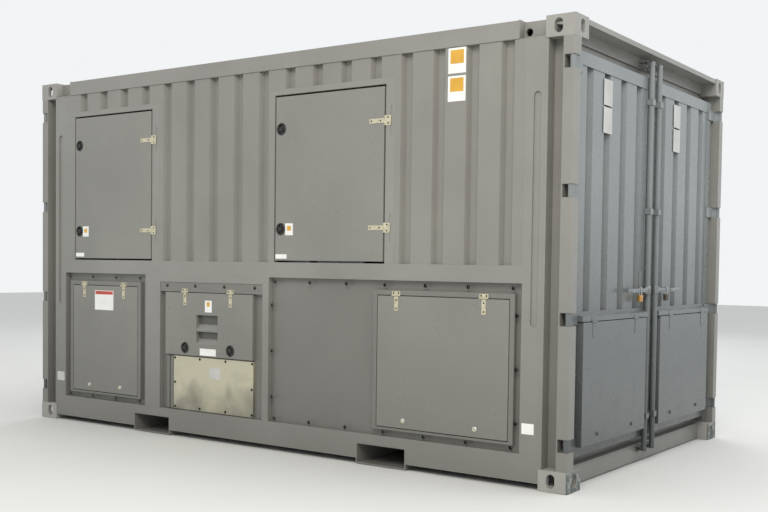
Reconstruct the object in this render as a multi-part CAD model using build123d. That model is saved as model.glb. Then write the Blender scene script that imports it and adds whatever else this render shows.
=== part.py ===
from build123d import *
import math
import os

# Containerised generator load bank: an 8 ft wide, 15 ft long steel enclosure with double doors at
# both ends, two access doors and three lift-up hatches on its front long side, and the fans,
# resistor racks and control cabinet that it houses.
# Frame: origin at the bottom centre, +X along the length, -Y the front long side, +Z up. Millimetres.

# ---- overall size -------------------------------------------------------------------------------
length = 4572.0
width = 2438.0
height = 2591.0

# ---- corner castings ----------------------------------------------------------------------------
casting_length = 178.0
casting_width = 162.0
casting_height = 118.0
casting_wall = 28.0
twistlock_slot = 124.0
twistlock_slot_width = 63.5
twistlock_from_end = 101.5
twistlock_from_side = 89.0
hand_hole_height = 79.0
hand_hole_width = 51.0

# ---- frame members ------------------------------------------------------------------------------
sheet = 3.0                  # folded panels and hatch covers
plate = 6.0                  # decks, bulkheads and lips
beam_wall = 5.0              # hollow rails and beams
skin_inset = 5.0             # side walls stand this far behind the casting faces
rail_bottom = 35.0
rail_top = 190.0
rail_depth = 70.0
roof_rail_bottom = 2485.0
roof_rail_height = 100.0
roof_rail_depth = 80.0
lash_recess = 60.0           # step back of the rail beside each top casting
lash_length = 163.0
lash_hole_radius = 22.0
header_face = 110.0          # header beam behind the casting faces
header_height = 69.0
sill_face = 80.0
sill_bottom = 6.0
sill_height = 112.0
beam_depth = 110.0

# ---- fork pockets -------------------------------------------------------------------------------
fork_spacing = 2050.0
fork_width = 360.0
fork_height = 115.0
fork_bottom = 10.0
fork_wall = 8.0

# ---- corner posts -------------------------------------------------------------------------------
bar_length = 71.0
bar_width = 74.0
channel_length = 90.0
channel_depth = 82.0
post_wall = 8.0
jamb_face = 124.0            # door stop behind the casting faces
jamb_thickness = 12.0
jamb_reach = 95.0            # how far the stop reaches past the bar towards the middle
hinge_levels = (260.0, 948.0, 1644.0, 2336.0)
hinge_slot_height = 72.0
pin_inset = 20.0             # hinge pin axis from both outer faces of the corner
fit_clearance = 0.08
knuckle_radius = 17.0
knuckle_flats = 10
running_gap = 0.3

# ---- front wall ---------------------------------------------------------------------------------
corner_band = 286.0          # left end of the container to the first opening
right_band = 301.0
pitch = 228.75               # wall corrugation
groove_width = 84.0
groove_slope = 18.0
groove_depth = 34.0
groove_phase = 43.0
wall_thickness = 4.0
stile_depth = 46.0
band_bottom = 1138.0
band_top = 1238.0
strip_bottom = 2355.0
swage_width = 45.0
swage_bottom = 900.0
swage_top = 2190.0
swage_depth = 10.0

# ---- access doors (upper front) -----------------------------------------------------------------
access_left_at = 406.0       # from the left end of the container
access_left_width = 840.0
access_right_at = 2441.0
access_right_width = 870.0
access_bottom = 1250.0
access_height = 1055.0
access_gap = 12.0
access_stile = 68.0
narrow_stile = 48.0
door_depth = 40.0
hinge_barrel_radius = 4.5
hinge_barrel_length = 60.0
hinge_axis_depth = 5.0       # hinge axes of the front doors and hatches behind the casting faces
face_depth = 9.0             # faces of the front hatches behind the casting faces
lock_radius = 37.0
lock_depth = 12.0
lock_from_edge = 44.0
lock_levels = (1453.0, 2098.0)
access_hinge_levels = (1455.0, 2100.0)
relief_length = 185.0
relief_width = 30.0
relief_depth = 3.0

# ---- lower bays and hatches ---------------------------------------------------------------------
bay_left_width = 905.0
stile_left = 155.0
bay_centre_width = 985.0
stile_centre = 55.0
centre_bay_top = 1090.0
recess_depth = 40.0          # bolted plates behind the casting faces
hatch_bottom = 250.0
hatch_top = 1045.0
hatch_gap = 5.0
hatch_border = 30.0
left_hatch_from_bay = 55.0
left_hatch_width = 795.0
right_hatch_width = 985.0
right_hatch_from_bay = 45.0
flap_bottom = 580.0
flap_top = 1018.0
flap_margin = 54.0           # left edge of the flap from the bay's left edge
flap_width = 841.0
window_size = 205.0
window_bottom = 665.0
window_depth = 30.0
window_bar = 14.0
flap_lock_level = 632.0
connection_from_bay = 127.0
connection_width = 765.0
connection_depth = 22.0
connection_bottom = 195.0
connection_top = 570.0
strap_width = 28.0
strap_length = 92.0
strap_thickness = 2.5
stud_radius = 11.0
stud_length = 9.0
stud_level = 296.0

# ---- end doors ----------------------------------------------------------------------------------
door_bottom = 170.0
door_top = 2425.0
door_edge_gap = 45.0         # between the post's bar and the door's hinge edge
seam_half_gap = 7.0
door_face = 52.0             # door frame plane behind the casting faces
end_door_depth = 60.0
door_stile = 75.0
door_sheet = 3.0
hood_bottom = 930.0
hood_height = 40.0
end_hatch_bottom = 228.0
end_hatch_top = 925.0
end_hatch_inset = 118.0      # from the seam
end_hatch_edge = 75.0        # from the door's hinge edge
end_hatch_face = 12.0        # behind the casting faces
end_hatch_axis_depth = 8.0
rod_radius = 17.0
collar_step = 1.4
rod_from_seam = 65.0
rod_depth = 33.0
rod_bottom = 76.0
rod_top = 2524.0
cam_length = 38.5
cam_width = 30.0
cam_height = 20.0
cam_clearance = 2.0
keeper_lip = 8.0
keeper_width = 62.0
keeper_depth = 54.0          # front of the keepers behind the casting faces
sill_cam_level = 90.0
header_cam_level = 2508.0
bracket_levels = (300.0, 1590.0, 2270.0)
bracket_height = 36.0
bracket_wall = 5.0
handle_level = 1095.0
handle_length = 360.0
handle_height = 26.0
handle_thickness = 9.0
padlock_width = 52.0
padlock_height = 44.0

# ---- inside -------------------------------------------------------------------------------------
deck_level = 1150.0
bay_depth = 430.0            # service bays behind the front hatches
fan_bulkhead_from_end = 830.0
fan_radius = 420.0
fan_tip_gap = 8.0
fan_spacing = 1100.0
fan_level = 1810.0
fan_depth = 120.0
blade_count = 6
blade_chord = 150.0
blade_thickness = 5.0
blade_pitch = 35.0
hub_radius = 85.0
shaft_radius = 19.0
motor_radius = 115.0
motor_flats = 16
motor_length = 260.0
guard_slats = 7
rack_count = 4
rack_length = 380.0
rack_gap = 60.0
rack_from_bulkhead = 560.0
rack_height = 1150.0
rack_wall = 4.0
element_height = 70.0
element_rows = 5
cabinet_depth = 250.0
member_count = 7
member_height = 120.0
member_flange = 45.0
member_wall = 5.0
floor_thickness = 5.0

# ---- planes worked out from the sizes above -----------------------------------------------------
half_length = length / 2
half_width = width / 2
skin = half_width - skin_inset               # outer plane of both side walls
post_edge = half_length - casting_length     # inner edge of the post along X
post_foot = casting_height
post_head = height - casting_height
roof_rail_top = roof_rail_bottom + roof_rail_height
floor_top = rail_top + floor_thickness
pin_x = half_length - pin_inset
pin_y = half_width - pin_inset
door_edge = half_width - bar_width - door_edge_gap
jamb_edge = half_width - bar_width - jamb_reach
inner_wall = skin - stile_depth              # inside plane of the side walls
axis_y = -(half_width - hinge_axis_depth)    # hinge axes on the front
face_y = -(half_width - face_depth)          # outer faces of the hatches and their rims


def block(x0, x1, y0, y1, z0, z1):
    """Box between two corners."""
    centre = ((x0 + x1) / 2, (y0 + y1) / 2, (z0 + z1) / 2)
    return Pos(*centre) * Box(abs(x1 - x0), abs(y1 - y0), abs(z1 - z0))


def prism_z(points, z0, z1):
    """Plan outline in X and Y, raised from z0 to z1."""
    return Pos(0, 0, z0) * extrude(make_face(Polyline(*points, close=True)), z1 - z0)


def prism_y(points, y0, y1):
    """Outline in X and Z, drawn from y0 to y1."""
    face = Plane.XZ.offset(-y0) * make_face(Polyline(*points, close=True))
    return extrude(face, amount=y1 - y0, dir=(0, 1, 0))


def prism_x(points, x0, x1):
    """Outline in Y and Z, drawn from x0 to x1."""
    face = Plane.YZ.offset(x0) * make_face(Polyline(*points, close=True))
    return extrude(face, amount=x1 - x0, dir=(1, 0, 0))


def rod_along(axis, radius, start, end, a, b):
    """Round bar along X, Y or Z between start and end, at the two other coordinates a and b."""
    middle = (start + end) / 2
    rod = Cylinder(radius, abs(end - start))
    if axis == "x":
        return Pos(middle, a, b) * Rot(0, 90, 0) * rod
    if axis == "y":
        return Pos(a, middle, b) * Rot(90, 0, 0) * rod
    return Pos(a, b, middle) * rod


def knuckle_along(axis, radius, start, end, a, b):
    """Hinge knuckle: a rolled eye drawn with a few flats, placed as rod_along places a bar."""
    eye = extrude(RegularPolygon(radius, knuckle_flats), abs(end - start) / 2, both=True)
    middle = (start + end) / 2
    if axis == "x":
        return Pos(middle, a, b) * Rot(0, 90, 0) * eye
    if axis == "y":
        return Pos(a, middle, b) * Rot(90, 0, 0) * eye
    return Pos(a, b, middle) * eye


def slot_cut(axis, at, slot_length, slot_width, depth, upright):
    """Round-ended cutter through a face that looks along the axis; upright turns it by 90 degrees."""
    outline = SlotOverall(slot_length, slot_width, rotation=90 if upright else 0)
    cutter = extrude(outline, depth / 2, both=True)
    turn = {"x": Rot(0, 90, 0) * Rot(0, 0, 90), "y": Rot(90, 0, 0), "z": Rot(0, 0, 0)}[axis]
    return Pos(*at) * turn * cutter


def to_corner(shape, east, north):
    """Mirrors a piece modelled at the +X +Y corner to another corner."""
    if not east:
        shape = mirror(shape, about=Plane.YZ)
    if not north:
        shape = mirror(shape, about=Plane.XZ)
    return shape


def four_corners(shape):
    return [to_corner(shape, east, north) for east in (True, False) for north in (True, False)]


def both_sides(shape):
    return [shape, mirror(shape, about=Plane.XZ)]


def both_ends(shape):
    return [shape, mirror(shape, about=Plane.YZ)]


def save(node, pieces):
    """Writes one node with its pieces as separate solids."""
    solids = []
    for piece in pieces:
        solids.extend(piece.solids())
    export_step(Compound(children=solids), f"parts/{node}.step")


os.makedirs("parts", exist_ok=True)

# ---- corner castings: hollow blocks with a twist-lock slot and two hand holes ---------------------

def corner_casting():
    """Bottom casting of the +X +Y corner."""
    x_in = half_length - casting_length
    y_in = half_width - casting_width
    body = block(x_in, half_length, y_in, half_width, 0, casting_height)
    thin = casting_wall / 2
    body -= block(x_in + thin, half_length - casting_wall, y_in + thin, half_width - casting_wall,
                  casting_wall, casting_height - thin)
    slot_x = half_length - twistlock_from_end
    slot_y = half_width - twistlock_from_side
    middle = casting_height / 2
    body -= slot_cut("z", (slot_x, slot_y, 0), twistlock_slot, twistlock_slot_width, 3 * casting_wall, False)
    body -= slot_cut("y", (slot_x, half_width, middle), hand_hole_height, hand_hole_width,
                     3 * casting_wall, True)
    body -= slot_cut("x", (half_length, slot_y, middle), hand_hole_height, hand_hole_width,
                     3 * casting_wall, True)
    return body


bottom_casting = corner_casting()
top_casting = Pos(0, 0, height) * mirror(bottom_casting, about=Plane.XY)
save("corner_castings_bottom", four_corners(bottom_casting))
save("corner_castings_top", four_corners(top_casting))


# ---- corner posts: outer bar with hinge slots, deep channel, and a folded door stop ---------------

def corner_post():
    bar_in = half_length - bar_length
    bar_side = half_width - bar_width
    web = half_width - channel_depth
    inner_web = web - post_wall - 2
    jamb = half_length - jamb_face
    ease = 6
    fold = bar_in - channel_length
    outline = [
        (half_length, half_width - ease), (half_length - ease, half_width), (bar_in, half_width),
        (bar_in, web), (fold, web), (fold, skin), (post_edge, skin), (post_edge, skin - post_wall),
        (fold - post_wall, skin - post_wall), (fold - post_wall, inner_web),
        (jamb - jamb_thickness, inner_web), (jamb - jamb_thickness, jamb_edge), (jamb, jamb_edge),
        (jamb, inner_web), (bar_in + post_wall, inner_web), (bar_in + post_wall, bar_side),
        (half_length, bar_side),
    ]
    post = prism_z(outline, post_foot, post_head)
    for level in hinge_levels:
        low = level - hinge_slot_height / 2
        high = level + hinge_slot_height / 2
        post -= block(bar_in + post_wall, half_length + 1, bar_side - 1, half_width + 1, low, high)
    return post


save("corner_posts", four_corners(corner_post()))


# ---- roof rails: hollow box rails, stepped back beside the castings, with a lashing hole ----------

def hollow_y(x0, x1, y0, y1, z0, z1):
    """Box tube along Y."""
    tube = block(x0, x1, y0, y1, z0, z1)
    return tube - block(x0 + beam_wall, x1 - beam_wall, y0 - 1, y1 + 1, z0 + beam_wall, z1 - beam_wall)


def hollow_x(x0, x1, y0, y1, z0, z1):
    """Box tube along X."""
    tube = block(x0, x1, y0, y1, z0, z1)
    return tube - block(x0 - 1, x1 + 1, y0 + beam_wall, y1 - beam_wall, z0 + beam_wall, z1 - beam_wall)


def roof_rail():
    end = half_length - casting_length
    full = end - lash_length
    rail = hollow_x(-full, full, half_width - roof_rail_depth, half_width, roof_rail_bottom, roof_rail_top)
    back = half_width - lash_recess
    for side in (1, -1):
        lash = block(side * full, side * end, half_width - roof_rail_depth, back,
                     roof_rail_bottom, roof_rail_top)
        lash -= rod_along("y", lash_hole_radius, half_width - roof_rail_depth - 1, back + 1,
                          side * (full + 30), roof_rail_bottom + roof_rail_height * 0.42)
        gusset = block(side * (full - plate), side * full, half_width - roof_rail_depth, half_width,
                       roof_rail_bottom, roof_rail_top + 4)
        rail = rail + gusset + lash
    return rail


save("top_side_rails", both_sides(roof_rail()))


# ---- bottom rails, notched over the fork pockets ---------------------------------------------------

fork_top = fork_bottom + fork_height + fork_wall


def bottom_rail():
    y_in = skin - rail_depth
    rail = hollow_x(-post_edge, post_edge, y_in, skin, rail_bottom, rail_top)
    for side in (1, -1):
        notch = fork_width / 2 + fork_wall
        centre = side * fork_spacing / 2
        rail -= block(centre - notch, centre + notch, y_in - 1, skin + 1, rail_bottom - 1, fork_top)
    return rail


def fork_pocket():
    """Rectangular sleeve right across the base, open at both sides."""
    half = fork_width / 2
    sleeve = block(-half - fork_wall, half + fork_wall, -skin, skin, fork_bottom - fork_wall, fork_top)
    return sleeve - block(-half, half, -skin - 1, skin + 1, fork_bottom, fork_bottom + fork_height)


save("bottom_side_rails", both_sides(bottom_rail()))
save("fork_pockets", [Pos(side * fork_spacing / 2, 0, 0) * fork_pocket() for side in (1, -1)])


# ---- floor: channel cross members between the bottom rails, and a floor sheet ----------------------

def cross_member():
    """Channel section along Y, open to +X."""
    low = rail_top - member_height
    wall = member_wall
    outline = [
        (0, low), (member_flange, low), (member_flange, low + wall), (wall, low + wall),
        (wall, rail_top - wall), (member_flange, rail_top - wall), (member_flange, rail_top), (0, rail_top),
    ]
    reach = skin - rail_depth
    return prism_y(outline, -reach, reach)


def member_places():
    """Even spacing in each of the three spans that the fork pockets leave."""
    pocket = fork_spacing / 2
    clear = fork_width / 2 + fork_wall + 30
    sill_back = half_length - sill_face - beam_depth
    spans = [(-sill_back, -pocket - clear), (-pocket + clear, pocket - clear), (pocket + clear, sill_back)]
    per_span = (2, member_count - 4, 2)
    places = []
    for (start, end), count in zip(spans, per_span):
        step = (end - start - member_flange) / (count + 1)
        places.extend(start + step * (index + 1) for index in range(count))
    return places


save("cross_members", [Pos(x, 0, 0) * cross_member() for x in member_places()])
jamb_plane = half_length - jamb_face
floor_end = jamb_plane - jamb_thickness
floor_side = inner_wall


def floor_sheet():
    """Sheet with its corners notched round the posts."""
    sheet_piece = block(-post_edge, post_edge, -floor_side, floor_side, rail_top, floor_top)
    sheet_piece += block(-floor_end, floor_end, -jamb_edge, jamb_edge, rail_top, floor_top)
    return sheet_piece


save("floor_plate", [floor_sheet()])


# ---- end sills and headers, with the upstands that the doors close against -------------------------

def end_sill():
    face = half_length - sill_face
    back = face - beam_depth
    top = sill_bottom + sill_height
    reach = half_width - casting_width
    lip = 10
    beam = hollow_y(back, face, -reach, reach, sill_bottom, top)
    beam += block(face, face + lip, -reach, reach, top - beam_wall, top)
    stop = block(floor_end, jamb_plane, -jamb_edge, jamb_edge, top, floor_top)
    return beam + stop


def end_header():
    face = half_length - header_face
    back = face - beam_depth + 30
    reach = half_width - casting_width
    top = roof_rail_bottom + header_height
    edge = half_length - 6
    under = 36
    outline = [
        (back, roof_rail_bottom), (face, roof_rail_bottom), (face, top), (edge - plate, top + 12),
        (edge - plate, height - under), (edge, height - under), (edge, height - plate),
        (back, height - plate), (back, top),
    ]
    cavity = [
        (back + beam_wall, roof_rail_bottom + beam_wall), (face - beam_wall, roof_rail_bottom + beam_wall),
        (face - beam_wall, top - beam_wall), (back + beam_wall, top - beam_wall),
    ]
    beam = prism_y(outline, -reach, reach) - prism_y(cavity, -reach - 1, reach + 1)
    beam += block(floor_end, jamb_plane, -jamb_edge, jamb_edge, door_top - 40, roof_rail_bottom)
    return beam


save("end_sills", both_ends(end_sill()))
save("end_headers", both_ends(end_header()))


# ---- roof sheet with stamped ribs across it --------------------------------------------------------

def ribbed_roof():
    rise = 14
    rib = 90
    slope = 16
    start = half_length - header_face - beam_depth + 30
    level = roof_rail_top - rise - wall_thickness
    count = math.floor(2 * start / pitch)
    upper = [(-start, level)]
    for index in range(count):
        centre = (index - (count - 1) / 2) * pitch
        upper.extend([
            (centre - rib / 2 - slope, level), (centre - rib / 2, level + rise),
            (centre + rib / 2, level + rise), (centre + rib / 2 + slope, level),
        ])
    upper.append((start, level))
    lower = [(x, z - wall_thickness + 1) for x, z in reversed(upper)]
    reach = half_width - roof_rail_depth
    return prism_y(upper + lower, -reach, reach)


save("roof_panel", [ribbed_roof()])


# ---- corrugated walls ------------------------------------------------------------------------------

def corrugated(x0, x1, z0, z1, outer, inward):
    """Vertical trapezoid folds at the wall's fixed pitch; inward is +1 or -1 along Y."""
    mouth = groove_width / 2
    floor = mouth - groove_slope
    first = math.ceil((x0 + mouth - groove_phase) / pitch)
    last = math.floor((x1 - mouth - groove_phase) / pitch)
    outside = [(x0, outer)]
    for index in range(first, last + 1):
        centre = groove_phase + index * pitch
        deep = outer + inward * groove_depth
        outside.extend([(centre - mouth, outer), (centre - floor, deep),
                        (centre + floor, deep), (centre + mouth, outer)])
    outside.append((x1, outer))
    inside = [(x, y + inward * wall_thickness) for x, y in reversed(outside)]
    return prism_z(outside + inside, z0, z1)


access_left = -half_length + access_left_at
access_left_end = access_left + access_left_width
access_right = -half_length + access_right_at
access_right_end = access_right + access_right_width
access_top = access_bottom + access_height
wall_left = -half_length + corner_band
wall_right = half_length - right_band
left_frame = (wall_left, access_left_end + access_gap + access_stile)
right_frame = (access_right - access_gap - narrow_stile, access_right_end + access_gap + access_stile)

front_panels = [
    corrugated(left_frame[1], right_frame[0], band_top, roof_rail_bottom, -skin, 1),
    corrugated(right_frame[1], wall_right, band_top, roof_rail_bottom, -skin, 1),
    corrugated(left_frame[0], left_frame[1], strip_bottom, roof_rail_bottom, -skin, 1),
    corrugated(right_frame[0], right_frame[1], strip_bottom, roof_rail_bottom, -skin, 1),
]
save("front_panels", front_panels)
rear_wall = corrugated(-post_edge, post_edge, rail_top, roof_rail_bottom, skin, -1)
save("rear_wall", [rear_wall])


# ---- front frame: corner stiles with a pressed swage, the mid rail and the bay stiles --------------

front_inner = -inner_wall


def hollow_z(x0, x1, y0, y1, z0, z1):
    """Box tube along Z."""
    tube = block(x0, x1, y0, y1, z0, z1)
    return tube - block(x0 + beam_wall, x1 - beam_wall, y0 + beam_wall, y1 - beam_wall, z0 - 1, z1 + 1)


def corner_stile(x0, x1, swage_x):
    """Flat folded sheet from rail to rail with one long round-ended swage pressed into it."""
    face = block(x0, x1, -skin, -skin + wall_thickness, rail_top, roof_rail_bottom)
    swage_length = swage_top - swage_bottom
    middle = (swage_top + swage_bottom) / 2
    back = slot_cut("y", (swage_x, -skin, middle), swage_length + 2 * wall_thickness,
                    swage_width + 2 * wall_thickness, 2 * (swage_depth + wall_thickness), True)
    back -= block(x0 - 1, x1 + 1, -half_width - 50, -skin, rail_top, roof_rail_bottom)
    front = slot_cut("y", (swage_x, -skin, middle), swage_length, swage_width, 2 * swage_depth, True)
    edge = x0 if x0 > 0 else x1
    toward = 1 if x0 > 0 else -1
    fold = block(edge, edge + toward * wall_thickness, -skin, front_inner, rail_top, roof_rail_bottom)
    return face + back - front + fold


bay_left = (-half_length + corner_band, -half_length + corner_band + bay_left_width)
bay_centre = (bay_left[1] + stile_left, bay_left[1] + stile_left + bay_centre_width)
bay_right = (bay_centre[1] + stile_centre, wall_right)
swage_from_edge = 46.0
front_band = [
    corner_stile(-post_edge, wall_left, -post_edge + swage_from_edge),
    corner_stile(wall_right, post_edge, post_edge - swage_from_edge),
    hollow_x(wall_left, wall_right, -skin, front_inner, band_bottom, band_top),
    hollow_z(bay_left[1], bay_centre[0], -skin, front_inner, rail_top, band_bottom),
    hollow_z(bay_centre[1], bay_right[0], -skin, front_inner, rail_top, band_bottom),
    hollow_x(bay_centre[0], bay_centre[1], -skin, front_inner, centre_bay_top, band_bottom),
]
save("front_band", front_band)


# ---- access door frames: two stiles and a head, with a pressed relief beside each hinge ------------

def lens(x, z):
    """Pointed oval cutter standing upright in the face of a stile."""
    half = relief_length / 2
    bulge = relief_width / 2
    edge = ThreePointArc((0, -half), (bulge, 0), (0, half)) + ThreePointArc((0, half), (-bulge, 0), (0, -half))
    cutter = extrude(make_face(edge), relief_depth, both=True)
    return Pos(x, -skin, z) * Rot(90, 0, 0) * cutter


def access_frame(outer, door_left, door_right):
    left, right = outer
    opening_left = door_left - access_gap
    opening_right = door_right + access_gap
    head = access_top + access_gap
    frame = hollow_z(left, opening_left, -skin, front_inner, band_top, strip_bottom)
    frame += hollow_z(opening_right, right, -skin, front_inner, band_top, strip_bottom)
    frame += hollow_x(opening_left, opening_right, -skin, front_inner, head, strip_bottom)
    for level in access_hinge_levels:
        frame -= lens((opening_right + right) / 2 + 8, level)
    return frame


access_frames = [
    access_frame(left_frame, access_left, access_left_end),
    access_frame(right_frame, access_right, access_right_end),
]
save("access_frames", access_frames)


# ---- bay plates with the raised borders round the hatches ------------------------------------------

recess_y = -(half_width - recess_depth)
lip = 20.0


def bay_plate(bay, top):
    return block(bay[0], bay[1], recess_y, recess_y + plate, rail_top, top)


def border(x0, x1, z0, z1):
    """Raised rim round a hatch, from the bay plate out to the hatch's face."""
    rim = block(x0, x1, face_y, recess_y, z0, z1)
    return rim - block(x0 + hatch_border, x1 - hatch_border, face_y - 1, recess_y + 1,
                       z0 + hatch_border / 2, z1 - hatch_border)


def hatch_hole(x0, x1, z0, z1):
    """Opening in the plate, smaller than the hatch so that the hatch lands on a lip."""
    return block(x0 + hatch_border + lip, x1 - hatch_border - lip, recess_y - 1, recess_y + plate + 1,
                 z0 + hatch_border / 2 + lip, z1 - hatch_border - lip)


rim_bottom = hatch_bottom - hatch_gap - hatch_border / 2
rim_top = hatch_top + hatch_gap + hatch_border
left_rim = (bay_left[0] + left_hatch_from_bay, bay_left[0] + left_hatch_from_bay + left_hatch_width)
right_rim = (bay_right[1] - right_hatch_from_bay - right_hatch_width, bay_right[1] - right_hatch_from_bay)
flap = (bay_centre[0] + flap_margin, bay_centre[0] + flap_margin + flap_width)
connection = (bay_centre[0] + connection_from_bay, bay_centre[0] + connection_from_bay + connection_width)


def hatch_bay(bay, rim):
    body = bay_plate(bay, band_bottom) + border(rim[0], rim[1], rim_bottom, rim_top)
    return body - hatch_hole(rim[0], rim[1], rim_bottom, rim_top)


def centre_bay():
    """Plate with a flange over the flap, the flap's opening and a folded jamb beside the lower panel."""
    body = bay_plate(bay_centre, centre_bay_top)
    body += block(bay_centre[0], bay_centre[1], face_y, recess_y, flap_top + hatch_gap, centre_bay_top)
    body -= block(flap[0] + lip, flap[1] - lip, recess_y - 1, recess_y + plate + 1,
                  flap_bottom + lip, flap_top - lip)
    jamb = block(flap[0], connection[0] - 6, face_y + 14, recess_y, rail_top + 5, flap_bottom - 12)
    groove = block(flap[0] + 28, flap[0] + 44, face_y, face_y + 22, rail_top, flap_bottom)
    return body + (jamb - groove)


save("recess_plates", [hatch_bay(bay_left, left_rim), centre_bay(), hatch_bay(bay_right, right_rim)])


# ---- bare metal connection panel, a folded pan under the flap --------------------------------------

def connection_panel():
    face = -(half_width - connection_depth)
    pan = block(connection[0], connection[1], face, recess_y, connection_bottom, connection_top)
    return pan - block(connection[0] + sheet, connection[1] - sheet, face + sheet, recess_y + 1,
                       connection_bottom + sheet, connection_top - sheet)


save("connection_plate", [connection_panel()])


def spread(start, end, count):
    return [start + (end - start) * index / (count - 1) for index in range(count)]


# ---- front hinges: a fixed leaf with one knuckle, and a strap with the other -----------------------

barrel_half = hinge_barrel_length / 2
leaf_reach = 45.0
clear = hinge_barrel_radius + 1   # the other half keeps this far from the knuckle


def level_hinge(x, axis_z, seat, moving):
    """Half of a top hinge: a leaf above the axis, or a strap below it, with one knuckle."""
    side = -1 if moving else 1
    reach = strap_length if moving else leaf_reach / 2 + 3
    half = strap_width / 2 if moving else barrel_half
    start = x + side * running_gap
    eye = rod_along if moving else knuckle_along
    knuckle = eye("x", hinge_barrel_radius, start, x + side * barrel_half, axis_y, axis_z)
    body = block(x - half, x + half, seat - strap_thickness, seat, axis_z + side * reach, axis_z + side * clear)
    body += block(start, x + side * half, seat - strap_thickness, seat, axis_z + side * clear, axis_z)
    return body + knuckle


def upright_hinge(axis_x, level, moving):
    """Half of a side hinge: a leaf to the right of the axis, or a strap to its left."""
    side = -1 if moving else 1
    reach = strap_length + 26 if moving else leaf_reach
    half = strap_width / 2 if moving else barrel_half
    start = level + side * running_gap
    eye = rod_along if moving else knuckle_along
    knuckle = eye("z", hinge_barrel_radius, start, level + side * barrel_half, axis_x, axis_y)
    body = block(axis_x + side * reach, axis_x + side * clear, -skin - strap_thickness, -skin,
                 level - half, level + half)
    body += block(axis_x + side * clear, axis_x, -skin - strap_thickness, -skin, start, level + side * half)
    return body + knuckle


def stud(x, z):
    """Quarter-turn stud on a hatch's face."""
    return Pos(x, face_y, z) * Rot(90, 0, 0) * extrude(RegularPolygon(stud_radius, 6), stud_length)


hatch_axis_z = hatch_top + hatch_gap / 2
flap_axis_z = flap_top + hatch_gap / 2
left_straps = spread(left_rim[0] + 165, left_rim[1] - 185, 2)
right_straps = spread(right_rim[0] + 173, right_rim[1] - 200, 2)
left_studs = spread(left_rim[0] + 225, left_rim[1] - 222, 2)
right_studs = spread(right_rim[0] + 232, right_rim[1] - 250, 2)
flap_lock_places = spread(flap[0] + 197, flap[1] - 205, 2)
left_axis_x = access_left_end + access_gap / 2
right_axis_x = access_right_end + access_gap / 2

leaves = [upright_hinge(x, z, False) for x in (left_axis_x, right_axis_x) for z in access_hinge_levels]
leaves += [level_hinge(x, hatch_axis_z, face_y, False) for x in left_straps + right_straps]
leaves += [level_hinge(x, flap_axis_z, face_y, False) for x in flap_lock_places]
save("fixed_hinge_leaves", leaves)


def hatch_fittings(axis_z, straps, studs):
    return [level_hinge(x, axis_z, face_y, True) for x in straps] + [stud(x, stud_level) for x in studs]


save("hatch_left_fittings", hatch_fittings(hatch_axis_z, left_straps, left_studs))
save("hatch_right_fittings", hatch_fittings(hatch_axis_z, right_straps, right_studs))
save("hatch_centre_fittings", hatch_fittings(flap_axis_z, flap_lock_places, []))
save("access_straps_left", [upright_hinge(left_axis_x, z, True) for z in access_hinge_levels])
save("access_straps_right", [upright_hinge(right_axis_x, z, True) for z in access_hinge_levels])


# ---- front doors and hatches: folded pans, open at the back ----------------------------------------

def pan(x0, x1, z0, z1, face, depth):
    body = block(x0, x1, face, face + depth, z0, z1)
    return body - block(x0 + sheet, x1 - sheet, face + sheet, face + depth + 1, z0 + sheet, z1 - sheet)


def lock_hole(x, z, face):
    return rod_along("y", lock_radius + fit_clearance, face - 1, face + sheet + 1, x, z)


def round_lock(x, z, face):
    """Flush round lock: plug through the sheet, an off-centre finger well, and a cam bar behind."""
    back = face + sheet + lock_depth
    well = lock_radius * 0.42
    middle = x + lock_radius * 0.35
    body = rod_along("y", lock_radius, face, back, x, z)
    body -= block(middle - well, middle + well, face - 1, back - sheet, z - well, z + well)
    return body + block(x - lock_radius * 0.8, x + 8, back, back + 6, z - 8, z + 8)


cover_depth = recess_depth - face_depth - running_gap
stiffener_depth = 18.0


def access_door(x0, x1):
    """Pan with two lock holes and a top-hat stiffener across its back."""
    door = pan(x0, x1, access_bottom, access_top, -skin, door_depth)
    for level in lock_levels:
        door -= lock_hole(x0 + lock_from_edge, level, -skin)
    middle = (access_bottom + access_top) / 2
    back = -skin + sheet
    hat = block(x0 + sheet, x1 - sheet, back, back + stiffener_depth, middle - 30, middle + 30)
    hat -= block(x0, x1, back, back + stiffener_depth - sheet, middle - 30 + sheet, middle + 30 - sheet)
    return door + hat


def hatch_cover(rim):
    inset = hatch_border + hatch_gap
    return pan(rim[0] + inset, rim[1] - inset, hatch_bottom, hatch_top, face_y, cover_depth)


def centre_flap():
    """Hinged flap with a recessed window: two pockets with sloped floors either side of a bar."""
    body = pan(flap[0], flap[1], flap_bottom, flap_top, face_y, cover_depth)
    for x in flap_lock_places:
        body -= lock_hole(x, flap_lock_level, face_y)
    middle = (flap[0] + flap[1]) / 2 - 7
    x0 = middle - window_size / 2
    x1 = middle + window_size / 2
    top = window_bottom + window_size - 5
    body += block(x0 - sheet, x1 + sheet, face_y, face_y + window_depth + sheet, window_bottom - sheet, top + sheet)
    body -= block(x0, x1, face_y - 1, face_y + window_depth, window_bottom, top)
    centre = (window_bottom + top) / 2
    for floor in (window_bottom, centre):
        slope = [(face_y, floor), (face_y + window_depth, floor), (face_y + window_depth, floor + 42)]
        body += prism_x(slope, x0, x1)
    return body + block(x0, x1, face_y, face_y + window_depth, centre - window_bar, centre)


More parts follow.
